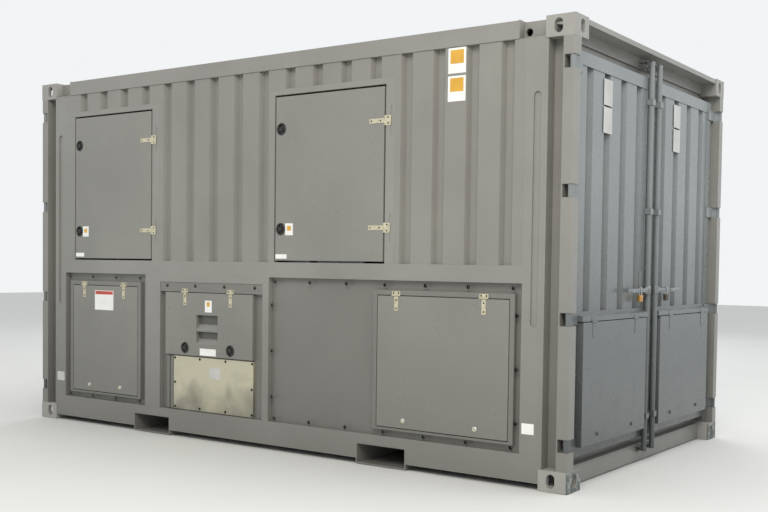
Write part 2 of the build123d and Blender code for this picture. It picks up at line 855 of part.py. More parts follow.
save("access_door_left", [access_door(access_left, access_left_end)])
save("access_door_right", [access_door(access_right, access_right_end)])
for side, edge in (("left", access_left), ("right", access_right)):
    for tier, level in zip(("lower", "upper"), lock_levels):
        save(f"access_lock_{side}_{tier}", [round_lock(edge + lock_from_edge, level, -skin)])
save("hatch_left", [hatch_cover(left_rim)])
save("hatch_right", [hatch_cover(right_rim)])
save("hatch_centre", [centre_flap()])
for side, x in zip(("left", "right"), flap_lock_places):
    save(f"flap_lock_{side}", [round_lock(x, flap_lock_level, face_y)])


# ---- end doors, modelled at the +X +Y corner and mirrored to the other three -----------------------

door_plane = half_length - door_face
hatch_plane = half_length - end_hatch_face
end_axis_x = half_length - end_hatch_axis_depth
end_axis_z = end_hatch_top + hatch_gap / 2
rod_x = half_length - rod_depth
rod_y = rod_from_seam
hood_top = hood_bottom + hood_height
end_hatch = (end_hatch_inset, door_edge - end_hatch_edge)
corners = {
    "east_north": (True, True), "east_south": (True, False),
    "west_north": (False, True), "west_south": (False, False),
}


def end_door():
    """Folded door: bordered face with a corrugated upper panel, a hatch opening and a drip hood."""
    back = door_plane - end_door_depth
    wall = beam_wall
    door = block(back, door_plane, seam_half_gap, door_edge, door_bottom, door_top)
    door -= block(back - 1, door_plane - wall, seam_half_gap + wall, door_edge - wall,
                  door_bottom + wall, door_top - wall)
    panel_foot = hood_top + 15
    panel_head = door_top - door_stile
    inner = (seam_half_gap + door_stile, door_edge - door_stile)
    door -= block(door_plane - wall - 1, door_plane + 1, inner[0], inner[1], panel_foot, panel_head)
    count = math.floor((inner[1] - inner[0]) / pitch)
    step = (inner[1] - inner[0]) / count
    mouth = groove_width / 2
    outer = door_plane - wall
    outside = [(outer, inner[0] - 15)]
    for index in range(count):
        centre = inner[0] + (index + 0.5) * step
        outside += [(outer, centre - mouth), (outer - groove_depth, centre - mouth + groove_slope),
                    (outer - groove_depth, centre + mouth - groove_slope), (outer, centre + mouth)]
    outside.append((outer, inner[1] + 15))
    inside = [(x - wall_thickness, y) for x, y in reversed(outside)]
    door += prism_z(outside + inside, panel_foot - 15, panel_head + 15)
    door -= block(door_plane - wall - 1, door_plane + 1, end_hatch[0] + lip, end_hatch[1] - lip,
                  end_hatch_bottom + lip, end_hatch_top - lip)
    hood = [(door_plane, hood_bottom), (hatch_plane, hood_bottom), (hatch_plane, hood_top - 12),
            (door_plane, hood_top)]
    return door + prism_y(hood, rod_y + rod_radius + 10, door_edge - door_stile + 10)


def hinge_blade(level):
    """Blade across the door's border, reaching through the post's slot to a knuckle at the corner."""
    half = hinge_slot_height / 2 - running_gap
    front = door_plane + 10
    outline = [
        (door_plane, door_edge - door_stile + 12), (front, door_edge - door_stile + 12),
        (front, pin_y - 46), (pin_x + 6, pin_y - 8), (pin_x - 10, pin_y + 4), (door_plane, pin_y - 34),
    ]
    blade = prism_z(outline, level - half, level + half)
    return blade + rod_along("z", knuckle_radius, level - half, level + half, pin_x, pin_y)


def rod_bracket(level):
    """U-shaped guide over the lock rod."""
    slide = rod_radius + fit_clearance
    low = level - bracket_height / 2
    high = level + bracket_height / 2
    body = block(door_plane, rod_x + slide + bracket_wall - 2, rod_y - slide - bracket_wall,
                 rod_y + slide + bracket_wall, low, high)
    return body - block(door_plane - 1, rod_x + slide, rod_y - slide, rod_y + slide, low - 1, high + 1)


def handle_rest():
    """Plate on the door with a shelf that the lock handle lies on."""
    shelf_top = handle_level - handle_height / 2 - running_gap
    crest = door_plane - beam_wall
    side = rod_y + rod_radius + 13
    rest = block(crest, crest + 6, side, side + 60, handle_level - 35, handle_level + 120)
    return rest + block(crest + 6, rod_x + rod_radius + 3, side + 10, side + 50, shelf_top - 6, shelf_top)


def end_strap(y, moving):
    """Half of a top hinge of an end hatch, on the hood or on the hatch."""
    side = -1 if moving else 1
    reach = strap_length if moving else hood_height - 16
    half = strap_width / 2 if moving else barrel_half
    start = y + side * running_gap
    body = block(hatch_plane, hatch_plane + strap_thickness, y - half, y + half,
                 end_axis_z + side * reach, end_axis_z + side * clear)
    body += block(hatch_plane, hatch_plane + strap_thickness, start, y + side * half,
                  end_axis_z + side * clear, end_axis_z)
    return body + rod_along("y", hinge_barrel_radius, start, y + side * barrel_half, end_axis_x, end_axis_z)


end_strap_places = spread(end_hatch[0] + 170, end_hatch[1] - 135, 2)
end_stud_places = spread(end_hatch[0] + 205, end_hatch[1] - 210, 2)


def end_hatch_pieces():
    """Lift-up cover with its straps and studs."""
    back = door_plane + running_gap
    cover = block(back, hatch_plane, end_hatch[0], end_hatch[1], end_hatch_bottom, end_hatch_top)
    cover -= block(back - 1, hatch_plane - sheet, end_hatch[0] + sheet, end_hatch[1] - sheet,
                   end_hatch_bottom + sheet, end_hatch_top - sheet)
    pieces = [cover] + [end_strap(y, True) for y in end_strap_places]
    for y in end_stud_places:
        head = extrude(RegularPolygon(stud_radius, 6), stud_length)
        pieces.append(Pos(hatch_plane, y, stud_level - 14) * Rot(0, 90, 0) * head)
    return pieces


def lock_rod():
    """Rod, a cam welded on at each end, and a handle on its own sleeve that lies along the door."""
    rod = rod_along("z", rod_radius, rod_bottom, rod_top, rod_x, rod_y)
    pieces = [rod]
    for level in (sill_cam_level, header_cam_level):
        low, high = level - cam_height / 2, level + cam_height / 2
        cam = rod_along("z", rod_radius + collar_step, low, high, rod_x, rod_y)
        cam += block(rod_x - cam_length, rod_x + 4, rod_y - cam_width / 2, rod_y + cam_width / 2, low, high)
        pieces.append(cam - rod)
    front = rod_x + rod_radius + 3
    back = front - handle_thickness
    bend, end = rod_y + handle_length * 0.55, rod_y + handle_length * 0.7
    tip = rod_y + handle_length
    bar = [(back, rod_y - 9), (front, rod_y - 9), (front, bend), (front + 9, end), (front + 9, tip),
           (back + 9, tip), (back + 9, end), (back, bend)]
    low, high = handle_level - handle_height / 2, handle_level + handle_height / 2
    handle = rod_along("z", rod_radius + collar_step, low, high, rod_x, rod_y) + prism_z(bar, low, high)
    pieces.append(handle - rod)
    return pieces


def padlock():
    """Body hanging below the handle from a shackle that closes over it."""
    front = rod_x + rod_radius + 3
    place = rod_y + 150
    low = handle_level - handle_height / 2
    high = handle_level + handle_height / 2
    clear_front = front + running_gap
    clear_back = front - handle_thickness - running_gap
    shackle = 5
    ring = block(clear_back - shackle, clear_front + shackle, place - 4, place + 4, low - 20, high + shackle)
    ring -= block(clear_back, clear_front, place - 5, place + 5, low - 12, high + running_gap)
    body = block(clear_back - shackle, clear_front + shackle, place - padlock_width / 2,
                 place + padlock_width / 2, low - 12 - padlock_height, low - 12)
    return ring + body


for name, (east, north) in corners.items():
    fittings = [hinge_blade(level) for level in hinge_levels]
    fittings += [rod_bracket(level) for level in bracket_levels]
    fittings += [handle_rest()] + [end_strap(y, False) for y in end_strap_places]
    for node, pieces in (("end_door", [end_door()]), ("end_fittings", fittings),
                         ("end_hatch", end_hatch_pieces()), ("lock_rod", lock_rod() + [padlock()])):
        save(f"{node}_{name}", [to_corner(piece, east, north) for piece in pieces])


# ---- cam keepers on the sills and headers: a back plate with a lip above and below the cam ---------

def keeper(face, level):
    half = cam_height / 2 + cam_clearance
    front = half_length - keeper_depth
    outline = [
        (face, level - half - keeper_lip), (front, level - half - keeper_lip), (front, level - half),
        (face + 4, level - half), (face + 4, level + half), (front, level + half),
        (front, level + half + keeper_lip), (face, level + half + keeper_lip),
    ]
    return prism_y(outline, rod_y - keeper_width / 2, rod_y + keeper_width / 2)


keepers = four_corners(keeper(half_length - sill_face, sill_cam_level))
keepers += four_corners(keeper(half_length - header_face, header_cam_level))
save("rod_keepers", keepers)


# ---- decks and bulkheads: the air tunnel over the service bays -------------------------------------

rear_inner = skin - groove_depth - wall_thickness
deck_top = deck_level + plate
bulkhead_x = -half_length + fan_bulkhead_from_end
bay_back = -half_width + bay_depth
fan_places = (-fan_spacing / 2, fan_spacing / 2)


def fan_bulkhead():
    """Plate across the tunnel with a round orifice for each fan."""
    body = block(bulkhead_x, bulkhead_x + plate, -inner_wall, rear_inner, deck_top, roof_rail_bottom)
    for y in fan_places:
        body -= rod_along("x", fan_radius + fan_tip_gap, bulkhead_x - 1, bulkhead_x + plate + 1, y, fan_level)
    return body


bulkheads = [
    block(-post_edge, post_edge, -inner_wall, rear_inner, deck_level, deck_top),
    block(wall_left, wall_right, bay_back, bay_back + plate, floor_top, deck_level),
    fan_bulkhead(),
]
for bay_edge in (bay_left[1] + stile_left / 2, bay_centre[1] + stile_centre / 2):
    bulkheads.append(block(bay_edge - plate / 2, bay_edge + plate / 2, -inner_wall, bay_back, floor_top, deck_level))
save("bulkheads", bulkheads)


# ---- fans: motor on two arms, wheel with pitched blades, and a slatted guard ------------------------

def fan_motor(y):
    """Motor with a ribbed frame behind the wheel, its shaft, its foot and the pedestal it stands on."""
    rear = bulkhead_x + fan_depth + 40
    frame = extrude(RegularPolygon(motor_radius, motor_flats), motor_length / 2, both=True)
    body = Pos(rear + motor_length / 2, y, fan_level) * Rot(0, 90, 0) * frame
    body += rod_along("x", shaft_radius, bulkhead_x + 12, rear + 10, y, fan_level)
    foot = fan_level - motor_radius
    body += block(rear + 30, rear + motor_length - 30, y - 60, y + 60, foot - 15, foot + 12)
    return body + block(rear + 60, rear + motor_length - 60, y - 50, y + 50, deck_top, foot - 10)


def fan_wheel(y):
    """Hub bored for the shaft, with flat blades set at an angle."""
    start = bulkhead_x + 20
    wheel = rod_along("x", hub_radius, start, start + fan_depth - 30, 0, 0)
    blade = Pos(start + (fan_depth - 30) / 2, 0, (hub_radius + fan_radius) / 2 - 5)
    blade *= Rot(0, 0, blade_pitch) * Box(blade_thickness, blade_chord, fan_radius - hub_radius - 10)
    for index in range(blade_count):
        wheel += Rot(360 / blade_count * index, 0, 0) * blade
    wheel -= rod_along("x", shaft_radius + fit_clearance, start - 1, start + fan_depth, 0, 0)
    return Pos(0, y, fan_level) * wheel


def fan_guard(y):
    """Square frame with level slats on the inlet side of the orifice."""
    half = fan_radius + 40
    x0 = bulkhead_x - 25
    guard = block(x0, bulkhead_x, y - half, y + half, fan_level - half, fan_level + half)
    guard -= block(x0 - 1, bulkhead_x + 1, y - half + 25, y + half - 25, fan_level - half + 25, fan_level + half - 25)
    for level in spread(fan_level - half + 25, fan_level + half - 25, guard_slats + 2)[1:-1]:
        guard += block(x0, x0 + 6, y - half + 20, y + half - 20, level - 3, level + 3)
    return guard


save("fan_motors", [fan_motor(y) for y in fan_places])
save("fan_guards", [fan_guard(y) for y in fan_places])
save("fan_wheel_south", [fan_wheel(fan_places[0])])
save("fan_wheel_north", [fan_wheel(fan_places[1])])


# ---- resistor racks: open ducts with rows of flat elements across the air stream --------------------

rack_side = inner_wall - 60


def rack(x0):
    x1 = x0 + rack_length
    top = deck_top + rack_height
    shell = block(x0, x1, -rack_side, rack_side, deck_top, top)
    return shell - block(x0 - 1, x1 + 1, -rack_side + rack_wall, rack_side - rack_wall,
                         deck_top + rack_wall, top - rack_wall)


def elements(x0):
    """Flat resistor strips from side to side of the rack."""
    levels = spread(deck_top, deck_top + rack_height, element_rows + 2)[1:-1]
    reach = rack_side - rack_wall
    half = element_height / 2
    return [block(x - 6, x + 6, -reach, reach, z - half, z + half)
            for x in (x0 + rack_length * 0.3, x0 + rack_length * 0.7) for z in levels]


rack_starts = [bulkhead_x + rack_from_bulkhead + index * (rack_length + rack_gap) for index in range(rack_count)]
save("resistor_racks", [rack(x) for x in rack_starts])
save("resistor_elements", [piece for x in rack_starts for piece in elements(x)])


# ---- control cabinet behind the centre flap ---------------------------------------------------------

def cabinet():
    """Closed cabinet on the bay's back wall with a sloped top edge."""
    front = bay_back - cabinet_depth
    outline = [(bay_back, flap_bottom), (front, flap_bottom), (front, flap_top - 60), (front + 50, flap_top),
               (bay_back, flap_top)]
    return prism_x(outline, flap[0] + 60, flap[1] - 60)


save("control_cabinet", [cabinet()])
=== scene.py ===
import bpy
import bmesh
import math
from mathutils import Matrix, Vector


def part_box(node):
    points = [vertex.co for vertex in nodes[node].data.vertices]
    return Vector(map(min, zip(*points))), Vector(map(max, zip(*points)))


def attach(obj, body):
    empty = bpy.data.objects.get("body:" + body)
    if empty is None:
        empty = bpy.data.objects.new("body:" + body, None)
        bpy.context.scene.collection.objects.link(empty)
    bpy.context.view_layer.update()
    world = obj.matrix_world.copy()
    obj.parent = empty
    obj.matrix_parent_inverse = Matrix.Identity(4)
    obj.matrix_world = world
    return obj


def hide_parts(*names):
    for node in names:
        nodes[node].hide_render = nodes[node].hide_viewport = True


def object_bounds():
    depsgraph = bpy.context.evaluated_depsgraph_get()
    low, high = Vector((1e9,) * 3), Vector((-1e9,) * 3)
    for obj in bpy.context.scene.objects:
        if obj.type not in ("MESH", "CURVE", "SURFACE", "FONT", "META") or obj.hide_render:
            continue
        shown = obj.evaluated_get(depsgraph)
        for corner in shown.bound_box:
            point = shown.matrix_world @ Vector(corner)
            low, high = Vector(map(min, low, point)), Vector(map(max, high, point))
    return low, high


# A containerised generator load bank: a 15 ft steel enclosure in warm grey paint, with two access
# doors and three lift-up hatches on its front long side and double doors at both ends. The packed
# solids are the frame; this file gives them their finishes and adds the small fittings.
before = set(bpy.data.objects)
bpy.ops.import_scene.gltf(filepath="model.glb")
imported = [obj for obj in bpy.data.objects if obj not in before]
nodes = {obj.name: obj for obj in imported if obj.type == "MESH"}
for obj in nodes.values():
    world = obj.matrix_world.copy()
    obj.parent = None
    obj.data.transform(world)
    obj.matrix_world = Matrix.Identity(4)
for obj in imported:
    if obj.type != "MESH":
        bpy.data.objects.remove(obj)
solid_low, solid_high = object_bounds()
mm = 0.001


# ==== Studio =====================================================================================
# A pale seamless floor, two large soft boxes and an even sky, with the camera at standing height
# off the front right corner, as such enclosures are usually shown.
studio_floor_side = 60.0
studio_floor_level = -2 * mm
sky_strength = 0.98

camera_data = bpy.data.cameras.new("studio_camera")
camera_data.sensor_width = 36.0
camera_data.lens = 48.58
camera_data.shift_x = -0.0494
camera_data.shift_y = 0.0648
camera_data.clip_end = 100.0
studio_camera = bpy.data.objects.new("studio_camera", camera_data)
bpy.context.scene.collection.objects.link(studio_camera)
yaw, pitch, roll = math.radians(34.225), math.radians(-2.2075), math.radians(0.8168)
look = Vector((-math.sin(yaw) * math.cos(pitch), math.cos(yaw) * math.cos(pitch), math.sin(pitch)))
level_right = Vector((math.cos(yaw), math.sin(yaw), 0.0))
level_up = level_right.cross(look)
camera_right = math.cos(roll) * level_right + math.sin(roll) * level_up
camera_up = -math.sin(roll) * level_right + math.cos(roll) * level_up
stand = Matrix((camera_right, camera_up, -look)).transposed().to_4x4()
stand.translation = Vector((4.7558, -6.268, 1.2282))
studio_camera.matrix_world = stand
bpy.context.scene.camera = studio_camera


def hex_linear(code, alpha=1.0):
    """sRGB hex to the linear values that a shader's colour socket takes."""
    channels = [int(code[i:i + 2], 16) / 255 for i in (1, 3, 5)]
    return tuple(c / 12.92 if c <= 0.04045 else ((c + 0.055) / 1.055) ** 2.4 for c in channels) + (alpha,)


def add_node(tree, kind, settings=None, links=None):
    """A node of that kind, with its settings and what feeds its inputs: {input: (node, output)}."""
    node = tree.nodes.new(kind)
    for key, value in (settings or {}).items():
        if isinstance(key, str) and hasattr(node, key):
            setattr(node, key, value)
        else:
            node.inputs[key].default_value = value
    for key, (source, output) in (links or {}).items():
        tree.links.new(source.outputs[output], node.inputs[key])
    return node


def soft_box(name, centre, aim, across, tall, power, tint):
    """Large area light that faces a point."""
    lamp = bpy.data.lights.new(name, "AREA")
    lamp.shape = "RECTANGLE"
    lamp.size, lamp.size_y = across, tall
    lamp.energy = power
    lamp.color = hex_linear(tint)[:3]
    box = bpy.data.objects.new(name, lamp)
    box.location = centre
    box.rotation_euler = (Vector(aim) - Vector(centre)).to_track_quat("-Z", "Y").to_euler()
    bpy.context.scene.collection.objects.link(box)


soft_box("key_soft_box", (4.6, -7.0, 6.5), (1.2, -1.2, 2.0), 4.5, 3.5, 430, "#FFF9EE")
soft_box("end_soft_box", (6.5, 1.2, 6.0), (2.3, 0.0, 2.3), 3.0, 2.5, 110, "#EEF5FF")
soft_box("roof_soft_box", (0.5, 1.0, 9.5), (0.0, 0.0, 2.5), 8.0, 6.0, 300, "#FFFFFF")
soft_box("rear_soft_box", (-5.5, 10.0, 5.5), (-0.5, 1.2, 1.3), 6.0, 4.0, 250, "#F7FAFF")

bpy.context.scene.view_settings.view_transform = "Standard"
sky = bpy.data.worlds.new("studio_sky")
sky.use_nodes = True
bpy.context.scene.world = sky
backdrop = sky.node_tree.nodes["Background"]
backdrop.inputs["Color"].default_value = hex_linear("#F4F6F8")
backdrop.inputs["Strength"].default_value = sky_strength


def new_material(name, **values):
    """Node material with its Principled shader, whose plain values are set on its own sockets."""
    finish = bpy.data.materials.new(name)
    finish.use_nodes = True
    shader = finish.node_tree.nodes["Principled BSDF"]
    for key, value in values.items():
        shader.inputs[key.replace("_", " ")].default_value = value
    return finish, finish.node_tree, shader


def two_tones(tree, source, dark, light, start=0.0, end=1.0):
    """Colour ramp from a dark to a light tone, fed by one output: (node, output)."""
    ramp = add_node(tree, "ShaderNodeValToRGB", links={"Fac": source})
    first, last = ramp.color_ramp.elements
    first.position, last.position = start, end
    first.color, last.color = hex_linear(dark), hex_linear(light)
    return ramp


# Pale matt vinyl sheet: faint mottling keeps it from looking like a drawn plane.
studio_vinyl, tree, shader = new_material("studio_vinyl_floor", Roughness=0.85)
where = add_node(tree, "ShaderNodeTexCoord")
mottle = add_node(tree, "ShaderNodeTexNoise", {"Scale": 0.8, "Detail": 3.0}, {"Vector": (where, "Object")})
tone = two_tones(tree, (mottle, "Fac"), "#C6C6C3", "#CDCDCA")
tree.links.new(tone.outputs["Color"], shader.inputs["Base Color"])
floor_mesh = bpy.data.meshes.new("studio_floor")
half = studio_floor_side / 2
floor_corners = [(x, y, studio_floor_level)
                 for x, y in ((-half, -half), (half, -half), (half, half), (-half, half))]
floor_mesh.from_pydata(floor_corners, [], [(0, 1, 2, 3)])
floor_mesh.materials.append(studio_vinyl)
studio_floor = bpy.data.objects.new("studio_floor", floor_mesh)
bpy.context.scene.collection.objects.link(studio_floor)


# ==== Painted enclosure ==========================================================================
# Welded frame, corrugated walls, doors and hatch covers, all sprayed in one semi-gloss warm grey
# two-pack enamel. Corrugated and flat panels show fine orange peel, slight oil-canning and painted
# shade that darkens them towards the bottom.
PAINT_PEEL = 1 / 0.004            # orange peel is 1 to 2 mm; drawn at 4 mm, as coarse as shows here
PAINT_WAVE = 1 / 0.45             # sheet steel between welds bulges over about half a metre


def painted_steel(name, light, dark, gloss=0.36, low_shade="#55544F", wave=0.35, low_shade_top=1.25,
                  low_shade_most=0.5):
    """Two-pack enamel on sheet steel: slow tone changes, orange peel, and painted shade low down."""
    finish, tree, shader = new_material(name, Metallic=0.0, IOR=1.5, Coat_Weight=0.12, Coat_Roughness=0.25)
    where = add_node(tree, "ShaderNodeTexCoord")
    cloud = add_node(tree, "ShaderNodeTexNoise", {"Scale": 1.4, "Detail": 4.0, "Roughness": 0.6},
                     {"Vector": (where, "Object")})
    tone = two_tones(tree, (cloud, "Fac"), dark, light, 0.32, 0.7)
    runs = add_node(tree, "ShaderNodeMapping", {"Scale": (9.0, 9.0, 0.7)}, {"Vector": (where, "Object")})
    streak = add_node(tree, "ShaderNodeTexNoise", {"Scale": 2.0, "Detail": 5.0, "Roughness": 0.65},
                      {"Vector": (runs, "Vector")})
    # Painted shade: below a set height the paint darkens towards the foot, broken a little by vertical
    # streaks.
    height = add_node(tree, "ShaderNodeSeparateXYZ", links={"Vector": (where, "Object")})
    low = add_node(tree, "ShaderNodeMapRange",
                   {"From Min": low_shade_top, "From Max": 0.02, "To Max": low_shade_most},
                   {"Value": (height, "Z")})
    patch = add_node(tree, "ShaderNodeMapRange", {"From Min": 0.3, "From Max": 0.75, "To Min": 0.9},
                     {"Value": (streak, "Fac")})
    low_shade_amount = add_node(tree, "ShaderNodeMath", {"operation": "MULTIPLY"},
                      {0: (low, "Result"), 1: (patch, "Result")})
    colour = add_node(tree, "ShaderNodeMix", {"data_type": "RGBA", "B": hex_linear(low_shade)},
                      {"Factor": (low_shade_amount, "Value"), "A": (tone, "Color")})
    tree.links.new(colour.outputs["Result"], shader.inputs["Base Color"])
    smear = add_node(tree, "ShaderNodeTexNoise", {"Scale": 6.0, "Detail": 6.0, "Roughness": 0.7},
                     {"Vector": (where, "Object")})
    rough = add_node(tree, "ShaderNodeMapRange", {"From Min": 0.3, "From Max": 0.75, "To Min": gloss - 0.05,
                     "To Max": gloss + 0.1}, {"Value": (smear, "Fac")})
    tree.links.new(rough.outputs["Result"], shader.inputs["Roughness"])
    bulge = add_node(tree, "ShaderNodeTexNoise", {"Scale": PAINT_WAVE, "Detail": 1.0},
                     {"Vector": (where, "Object")})
    fold = add_node(tree, "ShaderNodeBevel", {"samples": 4, "Radius": 0.0025})
    slow = add_node(tree, "ShaderNodeBump", {"Strength": wave, "Distance": 0.006},
                    {"Height": (bulge, "Fac"), "Normal": (fold, "Normal")})
    peel = add_node(tree, "ShaderNodeTexNoise", {"Scale": PAINT_PEEL, "Detail": 2.0},
                    {"Vector": (where, "Object")})
    fine = add_node(tree, "ShaderNodeBump", {"Strength": 0.1, "Distance": 0.0005},
                    {"Height": (peel, "Fac"), "Normal": (slow, "Normal")})
    tree.links.new(fine.outputs["Normal"], shader.inputs["Normal"])
    return finish


wall_enamel = painted_steel("grey_enamel_on_walls", "#878680", "#7D7C77")
frame_enamel = painted_steel("grey_enamel_on_frame", "#8A8984", "#807F7A", wave=0.12)
door_enamel = painted_steel("grey_enamel_on_doors", "#85847E", "#7B7A75", gloss=0.3, wave=0.4)
# The recessed plates take a darker copy of the same enamel, as painted shade of the recesses.
plate_enamel_painted_shade = painted_steel("grey_enamel_on_recessed_plates_painted_shade", "#787772", "#6F6E69", wave=0.25)
# The end doors take a cooler, darker copy of the enamel, with a strong dark tone towards the bottom:
# painted reflection of sky above and ground below.
end_enamel_painted_reflection = painted_steel("grey_enamel_on_end_doors_painted_reflection", "#808586", "#787D7E", gloss=0.24, wave=0.22,
                           low_shade="#373B3B", low_shade_top=1.75, low_shade_most=1.0)


def finish_nodes(material, names):
    """Gives CAD nodes this finish in every slot."""
    for name in names:
        for place in nodes[name].material_slots:
            place.material = material


corner_names = [side + "_" + end for side in ("east", "west") for end in ("north", "south")]
finish_nodes(wall_enamel, ["front_panels", "rear_wall", "roof_panel"])
finish_nodes(frame_enamel,
             ["corner_posts", "top_side_rails", "bottom_side_rails", "fork_pockets", "cross_members",
                            "end_sills", "end_headers", "access_frames", "front_band", "rod_keepers"])
finish_nodes(door_enamel, ["access_door_left", "access_door_right", "hatch_left", "hatch_right",
                           "hatch_centre"])
finish_nodes(plate_enamel_painted_shade, ["recess_plates"])
finish_nodes(end_enamel_painted_reflection, ["end_door_" + name for name in corner_names]
             + ["end_hatch_" + name for name in corner_names]
             + ["end_fittings_" + name for name in corner_names]
             + ["lock_rod_" + name for name in corner_names])

# ==== Corner castings ============================================================================
# Eight cast steel lifting corners, sand-cast and painted with the frame. The skin is coarse, and
# the outer end faces of the bottom ones are coloured a dark greenish grey in ragged patches.
casting_paint, tree, shader = new_material("enamel_on_sand_cast_steel", IOR=1.5)
where = add_node(tree, "ShaderNodeTexCoord")
sand = add_node(tree, "ShaderNodeTexNoise", {"Scale": 1 / 0.006, "Detail": 4.0},
                {"Vector": (where, "Object")})
cloud = add_node(tree, "ShaderNodeTexNoise", {"Scale": 11.0, "Detail": 5.0}, {"Vector": (where, "Object")})
tone = two_tones(tree, (cloud, "Fac"), "#8A8984", "#9A9994")
place = add_node(tree, "ShaderNodeSeparateXYZ", links={"Vector": (where, "Object")})
reach = add_node(tree, "ShaderNodeMath", {"operation": "ABSOLUTE"}, {0: (place, "X")})
outer = add_node(tree, "ShaderNodeMapRange",
                 {"From Min": solid_high[0] - 0.012, "From Max": solid_high[0] - 0.002},
                 {"Value": (reach, "Value")})
low = add_node(tree, "ShaderNodeMapRange", {"From Min": 0.135, "From Max": 0.095}, {"Value": (place, "Z")})
dark_end_noise = add_node(tree, "ShaderNodeTexNoise", {"Scale": 26.0, "Detail": 6.0, "Roughness": 0.7},
                {"Vector": (where, "Object")})
ragged = add_node(tree, "ShaderNodeMapRange", {"From Min": 0.40, "From Max": 0.50},
                  {"Value": (dark_end_noise, "Fac")})
# Ragged dark greenish grey patches on the outer end faces of the bottom castings.
dark_end_face = add_node(tree, "ShaderNodeMath", {"operation": "MULTIPLY"},
                    {0: (outer, "Result"), 1: (low, "Result")})
dark_end_mask = add_node(tree, "ShaderNodeMath", {"operation": "MULTIPLY"},
                {0: (dark_end_face, "Value"), 1: (ragged, "Result")})
dark_end_tone = two_tones(tree, (dark_end_noise, "Fac"), "#28343A", "#5C6B66", 0.42, 0.68)
mixed = add_node(tree, "ShaderNodeMix", {"data_type": "RGBA"},
                 {"Factor": (dark_end_mask, "Value"), "A": (tone, "Color"), "B": (dark_end_tone, "Color")})
tree.links.new(mixed.outputs["Result"], shader.inputs["Base Color"])
rough = add_node(tree, "ShaderNodeMapRange", {"To Min": 0.42, "To Max": 0.62}, {"Value": (cloud, "Fac")})
tree.links.new(rough.outputs["Result"], shader.inputs["Roughness"])
skin = add_node(tree, "ShaderNodeBump", {"Strength": 0.35, "Distance": 0.001}, {"Height": (sand, "Fac")})
tree.links.new(skin.outputs["Normal"], shader.inputs["Normal"])
finish_nodes(casting_paint, ["corner_castings_bottom", "corner_castings_top"])

# ==== Inside plant ===============================================================================
# Fan bulkhead, guards, motors, resistor racks with their alloy elements, and the control cabinet:
# seen only with the doors open, so each has the plain workshop finish that the real parts have.


def worn_metal(name, light, dark, metallic, roughness, grain=(1.0, 1.0, 1.0), scale=40.0, bump=0.15):
    """Bare or coated metal: a tone that wanders with the grain, uneven gloss and a fine surface."""
    finish, tree, shader = new_material(name, Metallic=metallic)
    where = add_node(tree, "ShaderNodeTexCoord")
    along = add_node(tree, "ShaderNodeMapping", {"Scale": grain}, {"Vector": (where, "Object")})
    figure = add_node(tree, "ShaderNodeTexNoise", {"Scale": scale, "Detail": 5.0, "Roughness": 0.6},
                      {"Vector": (along, "Vector")})
    tone = two_tones(tree, (figure, "Fac"), dark, light, 0.35, 0.68)
    tree.links.new(tone.outputs["Color"], shader.inputs["Base Color"])
    rough = add_node(tree, "ShaderNodeMapRange", {"To Min": roughness - 0.08, "To Max": roughness + 0.1},
                     {"Value": (figure, "Fac")})
    tree.links.new(rough.outputs["Result"], shader.inputs["Roughness"])
    fine = add_node(tree, "ShaderNodeBump", {"Strength": bump, "Distance": 0.0006},
                    {"Height": (figure, "Fac")})
    tree.links.new(fine.outputs["Normal"], shader.inputs["Normal"])
    return finish


# Hot-dip galvanised sheet: cool grey with soft spangle about 15 mm across.
galvanised = worn_metal("hot_dip_galvanised_steel", "#B9BEC0", "#8F969A", 0.85, 0.42, scale=1 / 0.02)
# Cast aluminium fan wheels: pale, slightly satin.
cast_aluminium = worn_metal("cast_aluminium", "#C9CACA", "#A9ABAC", 0.9, 0.4, scale=60.0)
# Resistor alloy after its first heat: straw to purple-brown oxide on nickel chromium.
oxidised_alloy = worn_metal("heat_oxidised_nickel_chromium", "#8A7A66", "#5A5058", 0.8, 0.45, scale=14.0)
motor_paint = worn_metal("cast_iron_motor_enamel", "#6E777C", "#5D666B", 0.0, 0.42, scale=30.0)
cabinet_powder = worn_metal("powder_coat_light_grey", "#C6C7C1", "#BBBCB6", 0.0, 0.5, scale=1 / 0.004,
                            bump=0.2)
floor_steel = worn_metal("chequer_floor_primer", "#565A5C", "#45494B", 0.2, 0.55, scale=12.0)
finish_nodes(galvanised, ["bulkheads", "fan_guards", "resistor_racks"])
finish_nodes(cast_aluminium, ["fan_wheel_south", "fan_wheel_north"])
finish_nodes(oxidised_alloy, ["resistor_elements"])
finish_nodes(motor_paint, ["fan_motors"])
finish_nodes(cabinet_powder, ["control_cabinet"])
finish_nodes(floor_steel, ["floor_plate"])

# ==== Bolted recess plates =======================================================================
# Folded steel plates close the lower bays, held by rows of M12 flange-head bolts that are painted
# over with the plates.
bolt_across = 17 * mm
bolt_pull = 6 * mm


def new_piece(name, mesh, body, slot_name, *materials):
    """Object at the origin from a finished mesh, riding on its body."""
    for material in materials:
        mesh.materials.append(material)
    piece = bpy.data.objects.new(name, mesh)
    bpy.context.scene.collection.objects.link(piece)
    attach(piece, body)
    return piece


